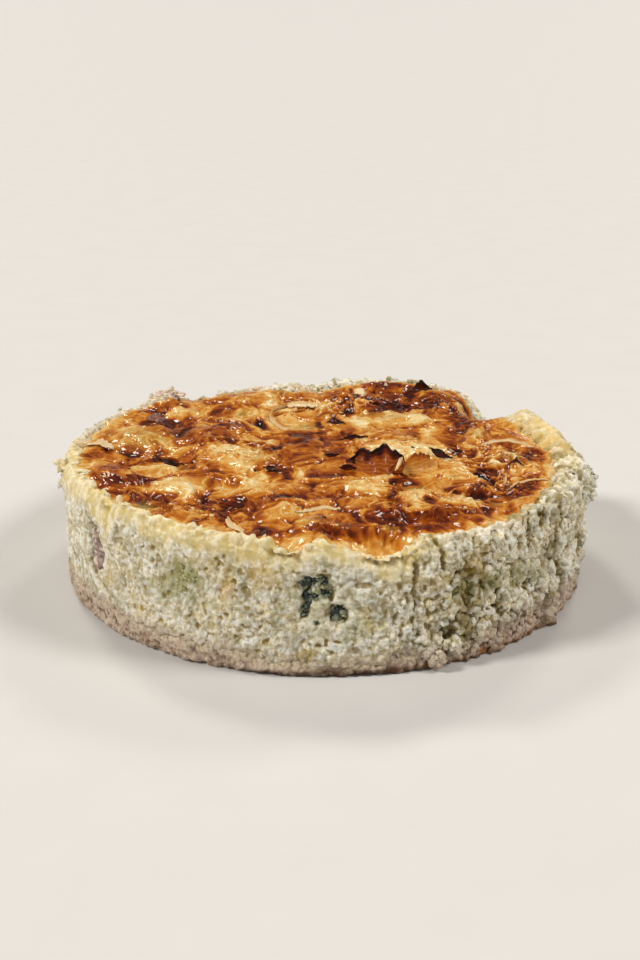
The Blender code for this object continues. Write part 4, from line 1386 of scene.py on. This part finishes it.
# %% Model the leaves and strips
# node or name, three points of the path in mm, width, lean from lying flat in
# degrees, lift in mm, wave in mm, tear of the edge, least and most burn
LEAVES = (
    ("leek_leaf_charred", ((7.0, -12.0), (12.5, -17.0), (19.0, -12.0)), 8.2, 50, 1.6, 0.8, 0.42, 0.60, 1.0),
    ("leek_leaf_amber", ((18.5, -15.5), (22.5, -16.5), (25.5, -10.5)), 6.0, 46, 1.0, 0.6, 0.25, 0.36, 0.64),
    ("leek_leaf_back", ((23.5, 48), (26.8, 51), (30.2, 48)), 3.0, 62, 0.6, 0.6, 0.7, 0.88, 1.0),
    ("leek_ring_back", ((-8, 38.5), (-19.5, 30), (-8.5, 17)), 2.6, 62, 0.3, 0.3, 0.2, 0.05, 0.45),
    ("leek_bar_back", ((-9.5, 34.5), (-5.5, 36.5), (-1.5, 34)), 2.2, 25, 0.7, 0.2, 0.15, 0.05, 0.30),
    ("leek_strip_left", ((-60, -1), (-55.5, 2.5), (-51, -0.5)), 1.7, 30, 0.7, 0.6, 0.9, 0.0, 0.1),
    ("leek_strip_front", ((-20.5, -44), (-20, -49.5), (-16.5, -54)), 1.3, 36, 0.4, 0.4, 0.5, 0.05, 0.35),
    ("onion_arc_right", ((38.5, 3), (45.5, 11.5), (51.5, 1)), 1.4, 40, 0.2, 0.3, 0.25, 0.16, 0.55),
    ("onion_arc_front", ((-6, -41.5), (-1, -36.5), (3.5, -40)), 1.0, 44, 0.2, 0.2, 0.2, 0.14, 0.4),
)
# More charred slivers and shreds, in the same terms
SLIVERS = (
    ("char_sliver_right", ((25.5, -2.0), (27.5, -4.5), (30.5, -8)), 1.8, 55, 0.9, 0.4, 0.5, 0.92, 1.0),
    ("char_arc_middle", ((4.0, 6.5), (7, 9.5), (11, 7.6)), 1.3, 60, 0.3, 0.3, 0.5, 0.88, 1.0),
    ("char_slit_left", ((-39.5, -5), (-36.5, -7.5), (-33.0, -10.8)), 1.5, 48, 0.4, 0.4, 0.6, 0.86, 1.0),
    ("char_fleck_left", ((-14.0, -13), (-12, -14.5), (-10.5, -13)), 1.5, 52, 0.4, 0.5, 0.6, 0.92, 1.0),
    ("char_fleck_middle", ((0.3, -4), (1.8, -5.5), (3.6, -4)), 1.1, 40, 0.3, 0.4, 0.5, 0.92, 1.0),
    ("char_fleck_back", ((1, 21), (3, 23), (5.5, 21.5)), 1.6, 34, 0.5, 0.4, 0.5, 0.92, 1.0),
    ("char_band_back", ((12, 37), (17.5, 39.5), (23, 36.5)), 1.4, 38, 0.1, 0.6, 0.7, 0.80, 0.96),
    ("char_tip_leaf", ((5.6, -12.4), (7.6, -11.2), (9.8, -12.2)), 3.0, 72, 1.9, 0.7, 0.6, 0.92, 1.0),
    ("char_low_leaf", ((3.4, -15.5), (5.4, -14.4), (7.6, -15.0)), 1.7, 50, 0.6, 0.6, 0.7, 0.84, 1.0),
    ("char_fleck_right", ((43, -13), (45, -12), (46.5, -14)), 1.0, 40, 0.4, 0.3, 0.5, 0.85, 1.0),
    ("leek_rib", ((17.6, -10.6), (18.6, -14.5), (16.4, -20.0)), 1.3, 30, 2.4, 0.3, 0.15, 0.04, 0.40),
    ("shred_right_long", ((41.5, -27), (45, -22.5), (50.5, -24)), 0.6, 30, 0.3, 0.2, 0.1, 0.18, 0.45),
    ("shred_right_short", ((40.5, -24.5), (41.5, -21), (42, -17.5)), 0.5, 30, 0.3, 0.2, 0.1, 0.18, 0.45),
)
LEAF_THICKNESS = 0.24 * MM
BLACK = 0.80


def bend_at(points, share):
    (x0, y0), (x1, y1), (x2, y2) = points
    rest = 1.0 - share
    x = rest * rest * x0 + 2.0 * share * rest * x1 + share * share * x2
    y = rest * rest * y0 + 2.0 * share * rest * y1 + share * share * y2
    return np.column_stack([x, y]) * MM


def leaf(spec, seed):
    name, path_points, width, lean, lift, wave, tear, low_burn, high_burn = spec
    steps = (48, 14) if width > 3.0 else (44, 5)
    deselect_all()
    bpy.ops.mesh.primitive_grid_add(x_subdivisions=steps[0], y_subdivisions=steps[1], size=2.0)
    piece = added(name + "_dressed")
    grid = points_of(piece)
    share, across = 0.5 + 0.5 * grid[:, 0], grid[:, 1]
    path = bend_at(path_points, share)
    ahead = bend_at(path_points, share + 0.02) - path
    side = np.column_stack([-ahead[:, 1], ahead[:, 0]]) / np.hypot(ahead[:, 0], ahead[:, 1])[:, None]
    length = math.dist(path_points[0], path_points[2])
    line = np.column_stack([share * length, 0.0 * share + seed, 0.0 * share])
    least, power = (0.08, 2.0) if low_burn >= BLACK else (0.40, 0.6)
    tapered = least + (1.0 - least) * np.clip(np.sin(np.pi * share), 0.0, 1.0) ** power
    teeth = soft_noise(line, 2.2, seed) + 0.7 * np.abs(soft_noise(line, 0.9, seed + 5)) - 0.2
    torn = 1.0 + tear * np.where(across > 0, teeth, 0.4 * soft_noise(line, 1.5, seed + 7))
    half = 0.5 * width * MM * tapered * torn
    turn = math.radians(lean)
    body = np.column_stack([share * length / 2.5, across * 1.2, 0.0 * share + seed])
    swell = wave * MM * (soft_noise(body, 1.0, seed + 1) + 0.15 * soft_noise(body, 0.4, seed + 3))
    swell += 0.3 * half * across * across
    flat = half * across * math.cos(turn) - swell * math.sin(turn)
    rise = half * across * math.sin(turn) + swell * math.cos(turn)
    ground = skin_height(path[:, 0], path[:, 1])
    far_out = smooth_step(radius_of(path), 55.0 * MM, 58.0 * MM)
    rim = lip_height(azimuth_of(flat_points(path[:, 0], path[:, 1]))) + 0.1 * MM
    ground = np.maximum(ground, far_out * rim)
    leaf_xy = path + side * flat[:, None]
    move_points(piece, np.column_stack([leaf_xy, ground + lift * MM + rise]))
    edge_burn = smooth_step(across + 0.4 * soft_noise(body, 0.7, seed + 2), 0.15, 0.95)
    store(piece, "burn", np.clip(low_burn + (high_burn - low_burn) * edge_burn, 0.0, 1.0))
    store(piece, "across", across)
    run_modifier(piece, "TRIANGULATE")
    run_modifier(piece, "SOLIDIFY", thickness=LEAF_THICKNESS, offset=0.0)
    bpy.ops.object.shade_smooth()
    return piece


def plain_scrap(piece, burn):
    """Give a lump the values that the finish of a leaf reads."""
    store(piece, "burn", np.full(len(piece.data.vertices), burn))
    store(piece, "across", np.zeros(len(piece.data.vertices)))
    activate(piece)
    bpy.ops.object.shade_smooth()


leaves = [leaf(spec, 301 + 3 * index) for index, spec in enumerate(LEAVES)]
slivers = [leaf(spec, 401 + 3 * index) for index, spec in enumerate(SLIVERS)]
low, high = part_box("onion_back")
onion_middle = np.array((low + high) / 2)
onion_middle[2] = height_at(onion_middle[0] / MM, onion_middle[1] / MM) + 0.4 * MM
onion_half = 0.9 * np.array(high - low) / 2
onion = rough_lump("onion_bead", onion_middle, np.eye(3), onion_half, 0.22, 0.6, 331, 4)
plain_scrap(onion, 0.04)
print("leaves:", len(leaves), "slivers:", len(slivers))

# %% [markdown]
# Tiny bits lie all over the skin: dark specks where leek burnt through, and
# pale crumbs of onion. They are copies of the one small lump, pressed flat and
# half sunk, joined by kind into two pieces.

# %% Scatter the specks
DARK_SPECKS = 20
PALE_SPECKS = 120


def specks(name, count, seed, least, most, burn):
    generator = np.random.default_rng(seed)
    radius = 56.0 * MM * np.sqrt(generator.random(count))
    angle = generator.uniform(0.0, TAU, count)
    x, y = radius * np.cos(angle), radius * np.sin(angle)
    size = generator.uniform(least, most, count) * MM
    sizes = np.column_stack([size, size * generator.uniform(0.4, 0.9, count), size * 0.45])
    place = np.column_stack([x, y, skin_height(x, y)])
    piece = scatter(name, curd_shape, place, sizes, generator.uniform(0.0, TAU, count))
    plain_scrap(piece, burn)
    return piece


dark_specks = specks("dark_specks", DARK_SPECKS, 501, 0.25, 0.60, 0.88)
pale_specks = specks("pale_specks", PALE_SPECKS, 503, 0.25, 0.65, 0.22)
print("specks:", DARK_SPECKS + PALE_SPECKS)

# %% [markdown]
# Where the skin is busiest, shreds of leek and cheese lie half sunk in it and
# fat has set in small beads. They are lumps once more, stretched or round, but
# each point follows the height of the skin under it and takes its browning, a
# little lighter, so they read as part of the skin.

# %% Lay shreds and beads in the skin
def draped(name, count, seed, long, wide, high, lighter):
    generator = np.random.default_rng(seed)
    areas = np.array([area[:4] for area in SHREDDED])[generator.integers(0, len(SHREDDED), count)]
    angle, reach = generator.uniform(0.0, TAU, count), np.sqrt(generator.random(count))
    x = (areas[:, 0] + reach * areas[:, 2] * np.cos(angle)) * MM
    y = (areas[:, 1] + reach * areas[:, 3] * np.sin(angle)) * MM
    place = flat_points(x, y)
    place = place[radius_of(place) < skin_edge(azimuth_of(place)) - 2.0 * MM]
    count = len(place)
    sizes = np.column_stack([generator.uniform(*span, count) for span in (long, wide, high)]) * MM
    piece = scatter(name, curd_shape, place, sizes, generator.normal(0.3, 0.8, count))
    points = points_of(piece)
    browning = skin_form(points[:, 0], points[:, 1])[1]
    shift = np.repeat(generator.uniform(0.0, lighter, count), len(curd_shape.data.vertices))
    points[:, 2] += skin_height(points[:, 0], points[:, 1]) - 0.03 * MM
    move_points(piece, points)
    store(piece, "browning", np.clip(browning - shift, 0.05, 1.0))
    activate(piece)
    bpy.ops.object.shade_smooth()
    return piece


shreds = draped("skin_shreds", 300, 511, (0.7, 2.2), (0.20, 0.36), (0.16, 0.34), 0.22)
fat_beads = draped("skin_beads", 200, 513, (0.22, 0.50), (0.20, 0.40), (0.16, 0.36), 0.12)
bpy.data.objects.remove(curd_shape)
print("faces of shreds and beads:", len(shreds.data.polygons) + len(fat_beads.data.polygons))

# %% [markdown]
# The finishes come next. A material is a small tree of nodes, and its parts repeat:
# noise, stored values, ranges and mixes. The helper below holds one tree and adds
# to it. Its paint step lays a tone over the colour so far, where a noise or a
# stored value says so, as a cook glazes layer over layer.

# %% Helper that builds a tree of nodes
def linear(red, green, blue):
    """Screen colour of 0 to 255 as the linear colour that shaders take."""
    scaled = [value / 255.0 for value in (red, green, blue)]
    return tuple(v / 12.92 if v <= 0.04045 else ((v + 0.055) / 1.055) ** 2.4 for v in scaled) + (1.0,)


class Painter:
    """Adds nodes to one tree. A value is a number, a colour or the output of another node."""

    def __init__(self, tree, space="Object"):
        self.tree = tree
        self.colour = None
        self.place = self.new("TexCoord").outputs[space]

    def new(self, kind, **settings):
        node = self.tree.nodes.new("ShaderNode" + kind)
        for key, value in settings.items():
            setattr(node, key, value)
        return node

    def feed(self, node, values):
        """Link or set some inputs of a node, given by name or number."""
        for key, value in values.items():
            if isinstance(value, bpy.types.NodeSocket):
                self.tree.links.new(value, node.inputs[key])
            else:
                node.inputs[key].default_value = value
        return node.outputs

    def stored(self, name):
        return self.new("Attribute", attribute_name=name).outputs["Fac"]

    def height(self):
        return self.feed(self.new("SeparateXYZ"), {0: self.place})["Z"]

    def stretched(self, *scale):
        return self.feed(self.new("Mapping"), {"Scale": scale, "Vector": self.place})["Vector"]

    def noise(self, scale, detail=4.0, place=None):
        place = self.place if place is None else place
        return self.feed(self.new("TexNoise"), {"Scale": scale, "Detail": detail, "Vector": place})["Fac"]

    def math(self, operation, first, second=0.5, clamp=False):
        return self.feed(self.new("Math", operation=operation, use_clamp=clamp), {0: first, 1: second})[0]

    def ranged(self, value, low, high, least, most):
        return self.feed(self.new("MapRange"), {
            "Value": value, "From Min": low, "From Max": high, "To Min": least, "To Max": most})["Result"]

    def mix(self, share, first, second):
        return self.feed(self.new("Mix", data_type="RGBA"), {0: share, 6: first, 7: second})[2]

    def ramp(self, share, stops):
        """Colour ramp: each stop is a position and a screen colour."""
        node = self.new("ValToRGB")
        elements = node.color_ramp.elements
        elements.remove(elements[-1])
        elements[0].position, elements[0].color = stops[0][0], linear(*stops[0][1])
        for position, tone in stops[1:]:
            elements.new(position).color = linear(*tone)
        return self.feed(node, {"Fac": share})["Color"]

    def bump(self, height, distance, strength):
        return self.feed(self.new("Bump"), {
            "Height": height, "Distance": distance, "Strength": strength})["Normal"]

    def paint(self, by, low, high, most, tone, where=None, least=0.0):
        """Lay a tone over the colour as a noise or a stored value runs from low to high."""
        value = self.stored(by) if isinstance(by, str) else by
        share = self.ranged(value, low, high, least, most)
        if where:
            share = self.math("MULTIPLY", share, self.stored(where), clamp=True)
        self.colour = self.mix(share, self.colour, linear(*tone))


# %% [markdown]
# Every piece has one Principled shader. Its colour, roughness and bump follow the
# nodes; its plain values, such as the coat that makes wet food shine, are set on
# the sockets. A little light goes through moist food, which subsurface gives.

# %% Helper that makes a finish
SOFT_WEIGHT = 0.15
SOFT_SCALE = 0.5


class Finish(Painter):
    """A material with one Principled shader."""

    def __init__(self, name):
        self.material = bpy.data.materials.new(name)
        self.material.use_nodes = True
        super().__init__(self.material.node_tree)

    def rough(self, noise, least, most):
        return self.ranged(noise, 0.3, 0.7, least, most)

    def surface(self, roughness, specular=0.5, coat=(0.0, 0.03), soft=None, **others):
        """Feed the shader; coat is weight and roughness, soft the reach of red, green and blue."""
        values = {"Base Color": self.colour, "Roughness": roughness, "Specular IOR Level": specular,
                  "Coat Weight": coat[0], "Coat Roughness": coat[1], **others}
        if soft:
            values.update({"Subsurface Weight": SOFT_WEIGHT, "Subsurface Radius": soft,
                           "Subsurface Scale": SOFT_SCALE})
        self.feed(self.tree.nodes["Principled BSDF"], values)
        return self.material


# %% [markdown]
# Baked dairy is a colour ramp: cream, straw, gold, amber, rust, mahogany and
# char. The skin and the leaves brown in the same order, so one node group serves
# both: browning goes in, and a colour with a fine mottle comes out.

# %% Group for the baked colours
BAKED = (
    (0.00, (230, 212, 164)), (0.15, (222, 190, 128)), (0.32, (206, 152, 72)), (0.46, (184, 110, 30)),
    (0.60, (146, 70, 12)), (0.74, (98, 36, 9)), (0.86, (62, 20, 8)), (1.00, (14, 8, 6)),
)
baked = bpy.data.node_groups.new("baked_colour", "ShaderNodeTree")
for socket in ("Browning", "Mottle"):
    baked.interface.new_socket(socket, in_out="INPUT", socket_type="NodeSocketFloat")
baked.interface.new_socket("Colour", in_out="OUTPUT", socket_type="NodeSocketColor")
inlet = baked.nodes.new("NodeGroupInput")
outlet = baked.nodes.new("NodeGroupOutput")
inner = Painter(baked)
along_y = inner.stretched(1.0, 0.7, 1.0)
mottle = inner.math("ADD", inner.noise(420.0, place=along_y), inner.noise(1400.0, 3.0, along_y))
mottle = inner.math("MULTIPLY", inner.math("SUBTRACT", mottle, 1.0), inlet.outputs["Mottle"])
browned = inner.math("ADD", inlet.outputs["Browning"], mottle, clamp=True)
baked.links.new(inner.ramp(browned, BAKED), outlet.inputs["Colour"])


def baked_colour(painter, browning, mottle):
    node = painter.new("Group", node_tree=baked)
    return painter.feed(node, {"Mottle": mottle, "Browning": browning})["Colour"]


print("baked colours:", len(BAKED), "nodes in the group:", len(baked.nodes))

# %% [markdown]
# The skin is glossy with melted fat. Its colour follows the stored browning, and
# painted shade darkens it a little in the hollows and creases; roughness varies
# in patches, and a thin coat gives the small sharp glints on the ridges.

# %% Finish of the browned skin
# How far painted shade darkens the skin along the browning ramp in its hollows and creases
PAINTED_HOLLOW_SHADE = 0.05
LEAF_GREEN = (104, 106, 52)


def skin_material():
    finish = Finish("browned skin")
    # Painted shade: the depth of the hollows and creases is added to the browning, so they come out darker
    sunk = finish.math("MULTIPLY", finish.stored("hollow"), PAINTED_HOLLOW_SHADE)
    crevice = finish.math("MULTIPLY", finish.stored("crevice"), PAINTED_HOLLOW_SHADE)
    browning = finish.math("ADD", finish.stored("browning"), finish.math("ADD", sunk, crevice))
    green = finish.math("MULTIPLY", finish.stored("green"), 0.8, clamp=True)
    finish.colour = finish.mix(green, baked_colour(finish, browning, 0.10), linear(*LEAF_GREEN))
    wrinkles = finish.noise(520.0, 5.0, finish.stretched(1.0, 0.5, 1.0))
    return finish.surface(finish.rough(finish.noise(260.0), 0.26, 0.50), specular=0.02, coat=(0.38, 0.07),
                          Normal=finish.bump(wrinkles, 0.0014, 0.90))


# %% [markdown]
# The crumb is pale cream, lighter on some curds. Painted shade makes it ochre in
# the holes, hollows and grooves and darker in the creases, and painted highlights
# lighten its crests. Yolk and broccoli stain it in places, the lip is richer
# yellow, and the foot takes up colour from the base. It is painted in layers:
# what drives a layer, the range it runs over, how much it covers, and its tone.

# %% Finish of the crumbly custard
def crumb_grain(finish, calm_name=None):
    """Fine broken grain under the size of the mesh, flat where the surface is smooth."""
    grain = finish.noise(1050.0, 7.0)
    if calm_name:
        depth = finish.ranged(finish.stored(calm_name), 0.0, 1.0, 1.0, 0.25)
        grain = finish.math("MULTIPLY", grain, depth)
    return grain, finish.bump(grain, 0.0011, 0.9)


def paint_curds(finish, grain):
    """The pale curds, the clouds of yellow and white in them, the lip, and painted shade in the pits of the
    fine bump.
    """
    cloud, blotch, speck = finish.noise(130.0, 3.0), finish.noise(300.0, 3.0), finish.noise(620.0)
    finish.colour = linear(238, 232, 212)
    finish.paint(cloud, 0.38, 0.62, 1.0, (230, 216, 176))
    finish.paint("tint", 0.45, 1.0, 0.6, (242, 238, 224))
    finish.paint(blotch, 0.51, 0.62, 0.75, (216, 194, 124))
    finish.paint(blotch, 0.47, 0.38, 0.7, (247, 245, 236))
    finish.paint(speck, 0.54, 0.70, 0.45, (206, 172, 104))
    finish.paint(finish.height(), 0.0255, 0.0300, 0.5, (230, 210, 146))
    finish.paint("film", 0.2, 1.0, 0.40, (242, 233, 198))
    finish.paint(blotch, 0.58, 0.47, 0.6, (228, 208, 134), where="film")
    finish.paint("golden", 0.1, 0.9, 0.75, (206, 150, 76))
    # Painted shade in the pits of the fine bump: the same noise feeds the bump, and its low parts are painted
    # darker
    finish.paint(grain, 0.46, 0.30, 0.45, (184, 160, 108))
    return blotch, speck


def paint_shades(finish):
    """Duller and lighter clouds of two sizes, painted highlights on the crests and painted shade in the
    creases, and fine curdling.
    """
    for scale, dusk in ((360.0, (184, 172, 132)), (150.0, (164, 156, 122))):
        cloudy = finish.noise(scale, 2.0)
        finish.paint(cloudy, 0.50, 0.36, 0.75, dusk)
        finish.paint(cloudy, 0.55, 0.66, 0.5, (250, 248, 236))
    # Painted highlight on the crests and painted shade in the creases, by the stored crease depth
    finish.paint("crevice", -0.15, -1.0, 0.45, (250, 247, 234))
    finish.paint("crevice", 0.2, 1.0, 0.50, (178, 152, 90))
    curdle = finish.noise(780.0, 3.0)
    finish.paint(curdle, 0.50, 0.38, 0.55, (174, 164, 128))
    finish.paint(curdle, 0.52, 0.62, 0.55, (250, 249, 242))


def paint_stains_and_shade(finish, blotch):
    """Streaks on the film, the resin yellow lobe, painted shade in the hollows, holes and grooves, stains and
    the foot.
    """
    streaks = finish.noise(440.0, 3.0, finish.stretched(1.0, 1.0, 0.4))
    finish.paint(streaks, 0.52, 0.62, 0.6, (242, 234, 200), where="film")
    finish.paint(streaks, 0.48, 0.38, 0.65, (200, 176, 96), where="film")
    finish.paint(blotch, 0.60, 0.42, 0.75, (214, 176, 92), where="lobe", least=0.25)
    finish.paint("film", 0.2, 1.0, 0.30, (230, 202, 118))
    # Painted shade: olive ochre in the hollows, the holes and the grooves between the columns
    finish.paint("hollow", 0.05, 0.8, 0.88, (134, 110, 50))
    finish.paint("pore", 0.1, 0.8, 0.7, (180, 152, 78))
    finish.paint("groove", 0.1, 0.8, 0.85, (142, 122, 56))
    finish.paint("ochre", 0.0, 1.0, 0.65, (206, 166, 62))
    finish.paint("green", 0.0, 1.0, 0.7, (146, 142, 76))
    finish.paint("foot", 0.0, 1.0, 0.6, (178, 154, 130))
    finish.paint(finish.height(), 0.0026, 0.0008, 0.75, (122, 82, 46))


def custard_material():
    finish = Finish("custard crumb")
    grain, normal = crumb_grain(finish, "film")
    blotch, speck = paint_curds(finish, grain)
    paint_shades(finish)
    paint_stains_and_shade(finish, blotch)
    return finish.surface(finish.rough(speck, 0.42, 0.68), specular=0.35, coat=(0.10, 0.3),
                          soft=(0.0022, 0.0015, 0.0006), Normal=normal)


# %% [markdown]
# The base is a pinkish tan paste, beaded where it met the ring. Its lowest
# edge lay on the tray and toasted, so the colour there follows a stored value.
# Painted shade darkens its hollows, creases and the pits of its fine bump, and
# painted highlights lighten its crests.

# %% Finish of the base
def base_material():
    finish = Finish("pressed base")
    cloud, speck = finish.noise(240.0), finish.noise(900.0)
    grain, normal = crumb_grain(finish)
    finish.colour = linear(208, 187, 168)
    finish.paint(cloud, 0.35, 0.65, 1.0, (162, 136, 117))
    finish.paint("tint", 0.4, 1.0, 0.6, (212, 192, 164))
    finish.paint(speck, 0.54, 0.68, 0.5, (156, 112, 72))
    finish.paint("creamy", 0.0, 1.0, 0.7, (206, 190, 158))
    # Painted shade in the pits of the fine bump, whose noise this is
    finish.paint(grain, 0.46, 0.30, 0.65, (112, 86, 66))
    # Painted highlight on the crests and painted shade in the creases
    finish.paint("crevice", -0.15, -1.0, 0.35, (222, 206, 182))
    finish.paint("crevice", 0.10, 1.0, 0.50, (108, 82, 62))
    ragged = finish.ranged(cloud, 0.35, 0.6, 0.45, 1.1)
    toast = finish.math("MULTIPLY", finish.stored("toast"), ragged, clamp=True)
    brown_edge = finish.mix(finish.stored("grit"), linear(84, 54, 32), linear(142, 96, 56))
    finish.colour = finish.mix(toast, finish.colour, brown_edge)
    # Painted shade: dark in the hollows
    finish.paint("hollow", 0.05, 0.9, 0.8, (70, 44, 26))
    return finish.surface(finish.rough(speck, 0.5, 0.8), specular=0.3, Normal=normal)


# %% [markdown]
# Broccoli buds run from almost black between the knobs, partly their own dark
# green and partly painted shade, to olive on the beads painted lighter as painted
# light, with custard smeared over some. Salmon is greyed pink, darker between
# its flakes as painted shade, and crumb clings to it.

# %% Finishes of the broccoli and the salmon
BUD_TONES = (
    (0.0, (16, 24, 20)), (0.25, (48, 66, 56)), (0.5, (112, 126, 106)), (0.8, (152, 152, 104)),
    (1.0, (186, 178, 118)),
)
# Node by node: darker and lighter tone, and how much cream crumb clings to it
SALMON_TONES = {
    "salmon_left": ((124, 94, 92), (176, 150, 142), 0.85),
    "salmon_rim": ((176, 140, 126), (226, 206, 186), 0.8),
    "salmon_top": ((70, 28, 14), (134, 72, 44), 0.1),
}


def broccoli_material():
    finish = Finish("broccoli buds")
    speck = finish.noise(900.0)
    shade = finish.math("MULTIPLY", finish.stored("shade"), finish.rough(speck, 0.72, 1.2))
    finish.colour = finish.ramp(shade, BUD_TONES)
    finish.paint(finish.noise(620.0, 5.0), 0.54, 0.64, 0.8, (178, 178, 146))
    return finish.surface(finish.rough(speck, 0.25, 0.50), coat=(0.3, 0.2),
                          Normal=finish.bump(speck, 0.0006, 0.8))


def salmon_material(name, dark, light, crumbed):
    finish = Finish(name)
    cloud = finish.noise(420.0)
    finish.colour = linear(*dark)
    finish.paint(cloud, 0.35, 0.65, 1.0, light)
    # Painted shade: darker between the flakes, where the stored hollow depth is high
    finish.paint("hollow", 0.0, 1.0, 0.7, [0.6 * value for value in dark])
    finish.paint(finish.noise(760.0, 5.0), 0.52, 0.60, crumbed, (224, 212, 186))
    return finish.surface(finish.rough(cloud, 0.35, 0.6), soft=(0.003, 0.0012, 0.001),
                          Normal=finish.bump(finish.noise(1500.0), 0.0002, 0.5))


# %% [markdown]
# Leek and onion are pale and moist, with fine veins along the leaf that a sine
# across it gives. Where they burnt they follow the baked ramp, and char is dull.

# %% Finish of the leek and the onion
FRESH_LEEK = (222, 196, 156)
SCORCHED_LEEK = (190, 130, 84)
VEINS_ACROSS = 24.0


def leek_material(name, fresh, gloss):
    finish = Finish(name)
    veins = finish.math("SINE", finish.math("MULTIPLY", finish.stored("across"), VEINS_ACROSS))
    burn = finish.math("ADD", finish.stored("burn"), finish.ranged(veins, -1.0, 1.0, -0.04, 0.04))
    finish.colour = baked_colour(finish, burn, 0.22)
    finish.paint(burn, 0.4, 0.05, 0.85, fresh)
    patchy = finish.noise(600.0)
    return finish.surface(finish.rough(patchy, gloss, gloss + 0.25), specular=0.10, coat=(0.12, 0.12),
                          soft=(0.003, 0.002, 0.001), Normal=finish.bump(patchy, 0.0003, 0.5))


# %% [markdown]
# Each piece now gets its finish and rides the one body, and the node of the
# model that it replaces is hidden. A leaf is named for its node; for every smaller
# scrap that node is the custard that it lies on.

# %% Dress the pieces
CHARRED = 0.3


def dress(piece, material, slot, *nodes):
    piece.data.materials.clear()
    piece.data.materials.append(material)
    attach(piece, "root")
    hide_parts(*nodes)


skin_finish = skin_material()
for piece in (skin, shreds, fat_beads):
    dress(piece, skin_finish, "custard", "custard")
crumb_finish = custard_material()
for wall in walls:
    dress(wall, crumb_finish, "custard", "custard")
dress(base, base_material(), "pastry", "pastry_base")
bud_finish = broccoli_material()
for piece, node in zip(florets, PALENESS):
    dress(piece, bud_finish, "broccoli", node)
for piece, (node, tones) in zip(salmon, SALMON_TONES.items()):
    dress(piece, salmon_material(node + " flesh", *tones), "salmon", node)
leek_finish = leek_material("moist leek", FRESH_LEEK, 0.30)
char_finish = leek_material("charred leek", SCORCHED_LEEK, 0.42)
for piece, spec in zip(leaves + slivers, LEAVES + SLIVERS):
    burnt = spec[-2] >= CHARRED
    node = spec[0] if spec in LEAVES else "custard"
    dress(piece, char_finish if burnt else leek_finish, "char" if burnt else "leek", node)
dress(dark_specks, char_finish, "char", "custard")
dress(pale_specks, leek_finish, "leek", "custard")
dress(onion, leek_finish, "leek", "onion_back")
print("finishes:", len(bpy.data.materials))

# %% [markdown]
# The quiche stands on a plain pale floor in soft studio light. One light comes
# from the left and one from the right, so both graze the crumb of the front, and
# a narrower one from behind makes the ridges of the skin glint. Suns light the
# whole floor evenly. The sky is dim above, so the glossy skin keeps its colour,
# and as pale as the floor low down, so no horizon shows.

# %% Floor and lights
DAYLIGHT = (1.0, 0.965, 0.92)
LAMPLIGHT = (1.0, 0.94, 0.84)
# Name, azimuth, elevation and spread in degrees, strength and colour
SUNS = (
    ("left", 200.0, 42.0, 14.0, 2.2, DAYLIGHT), ("right", 350.0, 45.0, 18.0, 1.7, DAYLIGHT),
    ("back", 115.0, 46.0, 11.0, 0.9, LAMPLIGHT), ("far right", 66.0, 40.0, 11.0, 0.6, LAMPLIGHT),
    ("front", 262.0, 30.0, 80.0, 0.25, (1.0, 0.98, 0.96)),
)
DIM_SKY = (0.072, 0.074, 0.076, 1.0)
LOW_SKY = (0.79, 0.753, 0.69, 1.0)


def sun(name, azimuth, elevation, spread, power, colour):
    data = bpy.data.lights.new(name, "SUN")
    data.angle = math.radians(spread)
    data.energy = power
    data.color = colour
    light = bpy.data.objects.new(name, data)
    bpy.context.scene.collection.objects.link(light)
    across, up = math.radians(azimuth), math.radians(elevation)
    place = Vector((math.cos(across) * math.cos(up), math.sin(across) * math.cos(up), math.sin(up)))
    light.location = place
    light.rotation_euler = (-place).to_track_quat("-Z", "Y").to_euler()


deselect_all()
bpy.ops.mesh.primitive_plane_add(size=60.0, location=(0.0, 0.0, 0.0))
floor = added("floor")
floor_finish = Finish("pale floor")
floor_finish.colour = floor_finish.mix(floor_finish.noise(60.0), linear(204, 202, 199), linear(210, 208, 205))
floor.data.materials.append(floor_finish.surface(0.7))
for spec in SUNS:
    sun(*spec)

world = bpy.data.worlds.new("studio")
world.use_nodes = True
sky = Painter(world.node_tree, "Generated")
low_share = sky.ranged(sky.height(), 0.10, 0.16, 1.0, 0.0)
sky.feed(sky.tree.nodes["Background"], {"Color": sky.mix(low_share, DIM_SKY, LOW_SKY)})
bpy.context.scene.world = world
bpy.context.scene.view_settings.view_transform = "Standard"
print("suns:", len(SUNS))

# %% [markdown]
# The camera looks as the photograph does: from in front, about 30 cm away, and
# some 20 degrees down on the quiche.

# %% Camera
CAMERA_PLACE = (-0.9 * MM, -306.0 * MM, 134.6 * MM)
CAMERA_PITCH = 20.44

camera_data = bpy.data.cameras.new("camera")
camera_data.lens = 50.0
camera_data.sensor_width = 36.0
camera_data.clip_start = 0.01
camera = bpy.data.objects.new("camera", camera_data)
bpy.context.scene.collection.objects.link(camera)
camera.location = CAMERA_PLACE
camera.rotation_euler = (math.radians(90.0 - CAMERA_PITCH), 0.0, 0.0)
bpy.context.scene.camera = camera
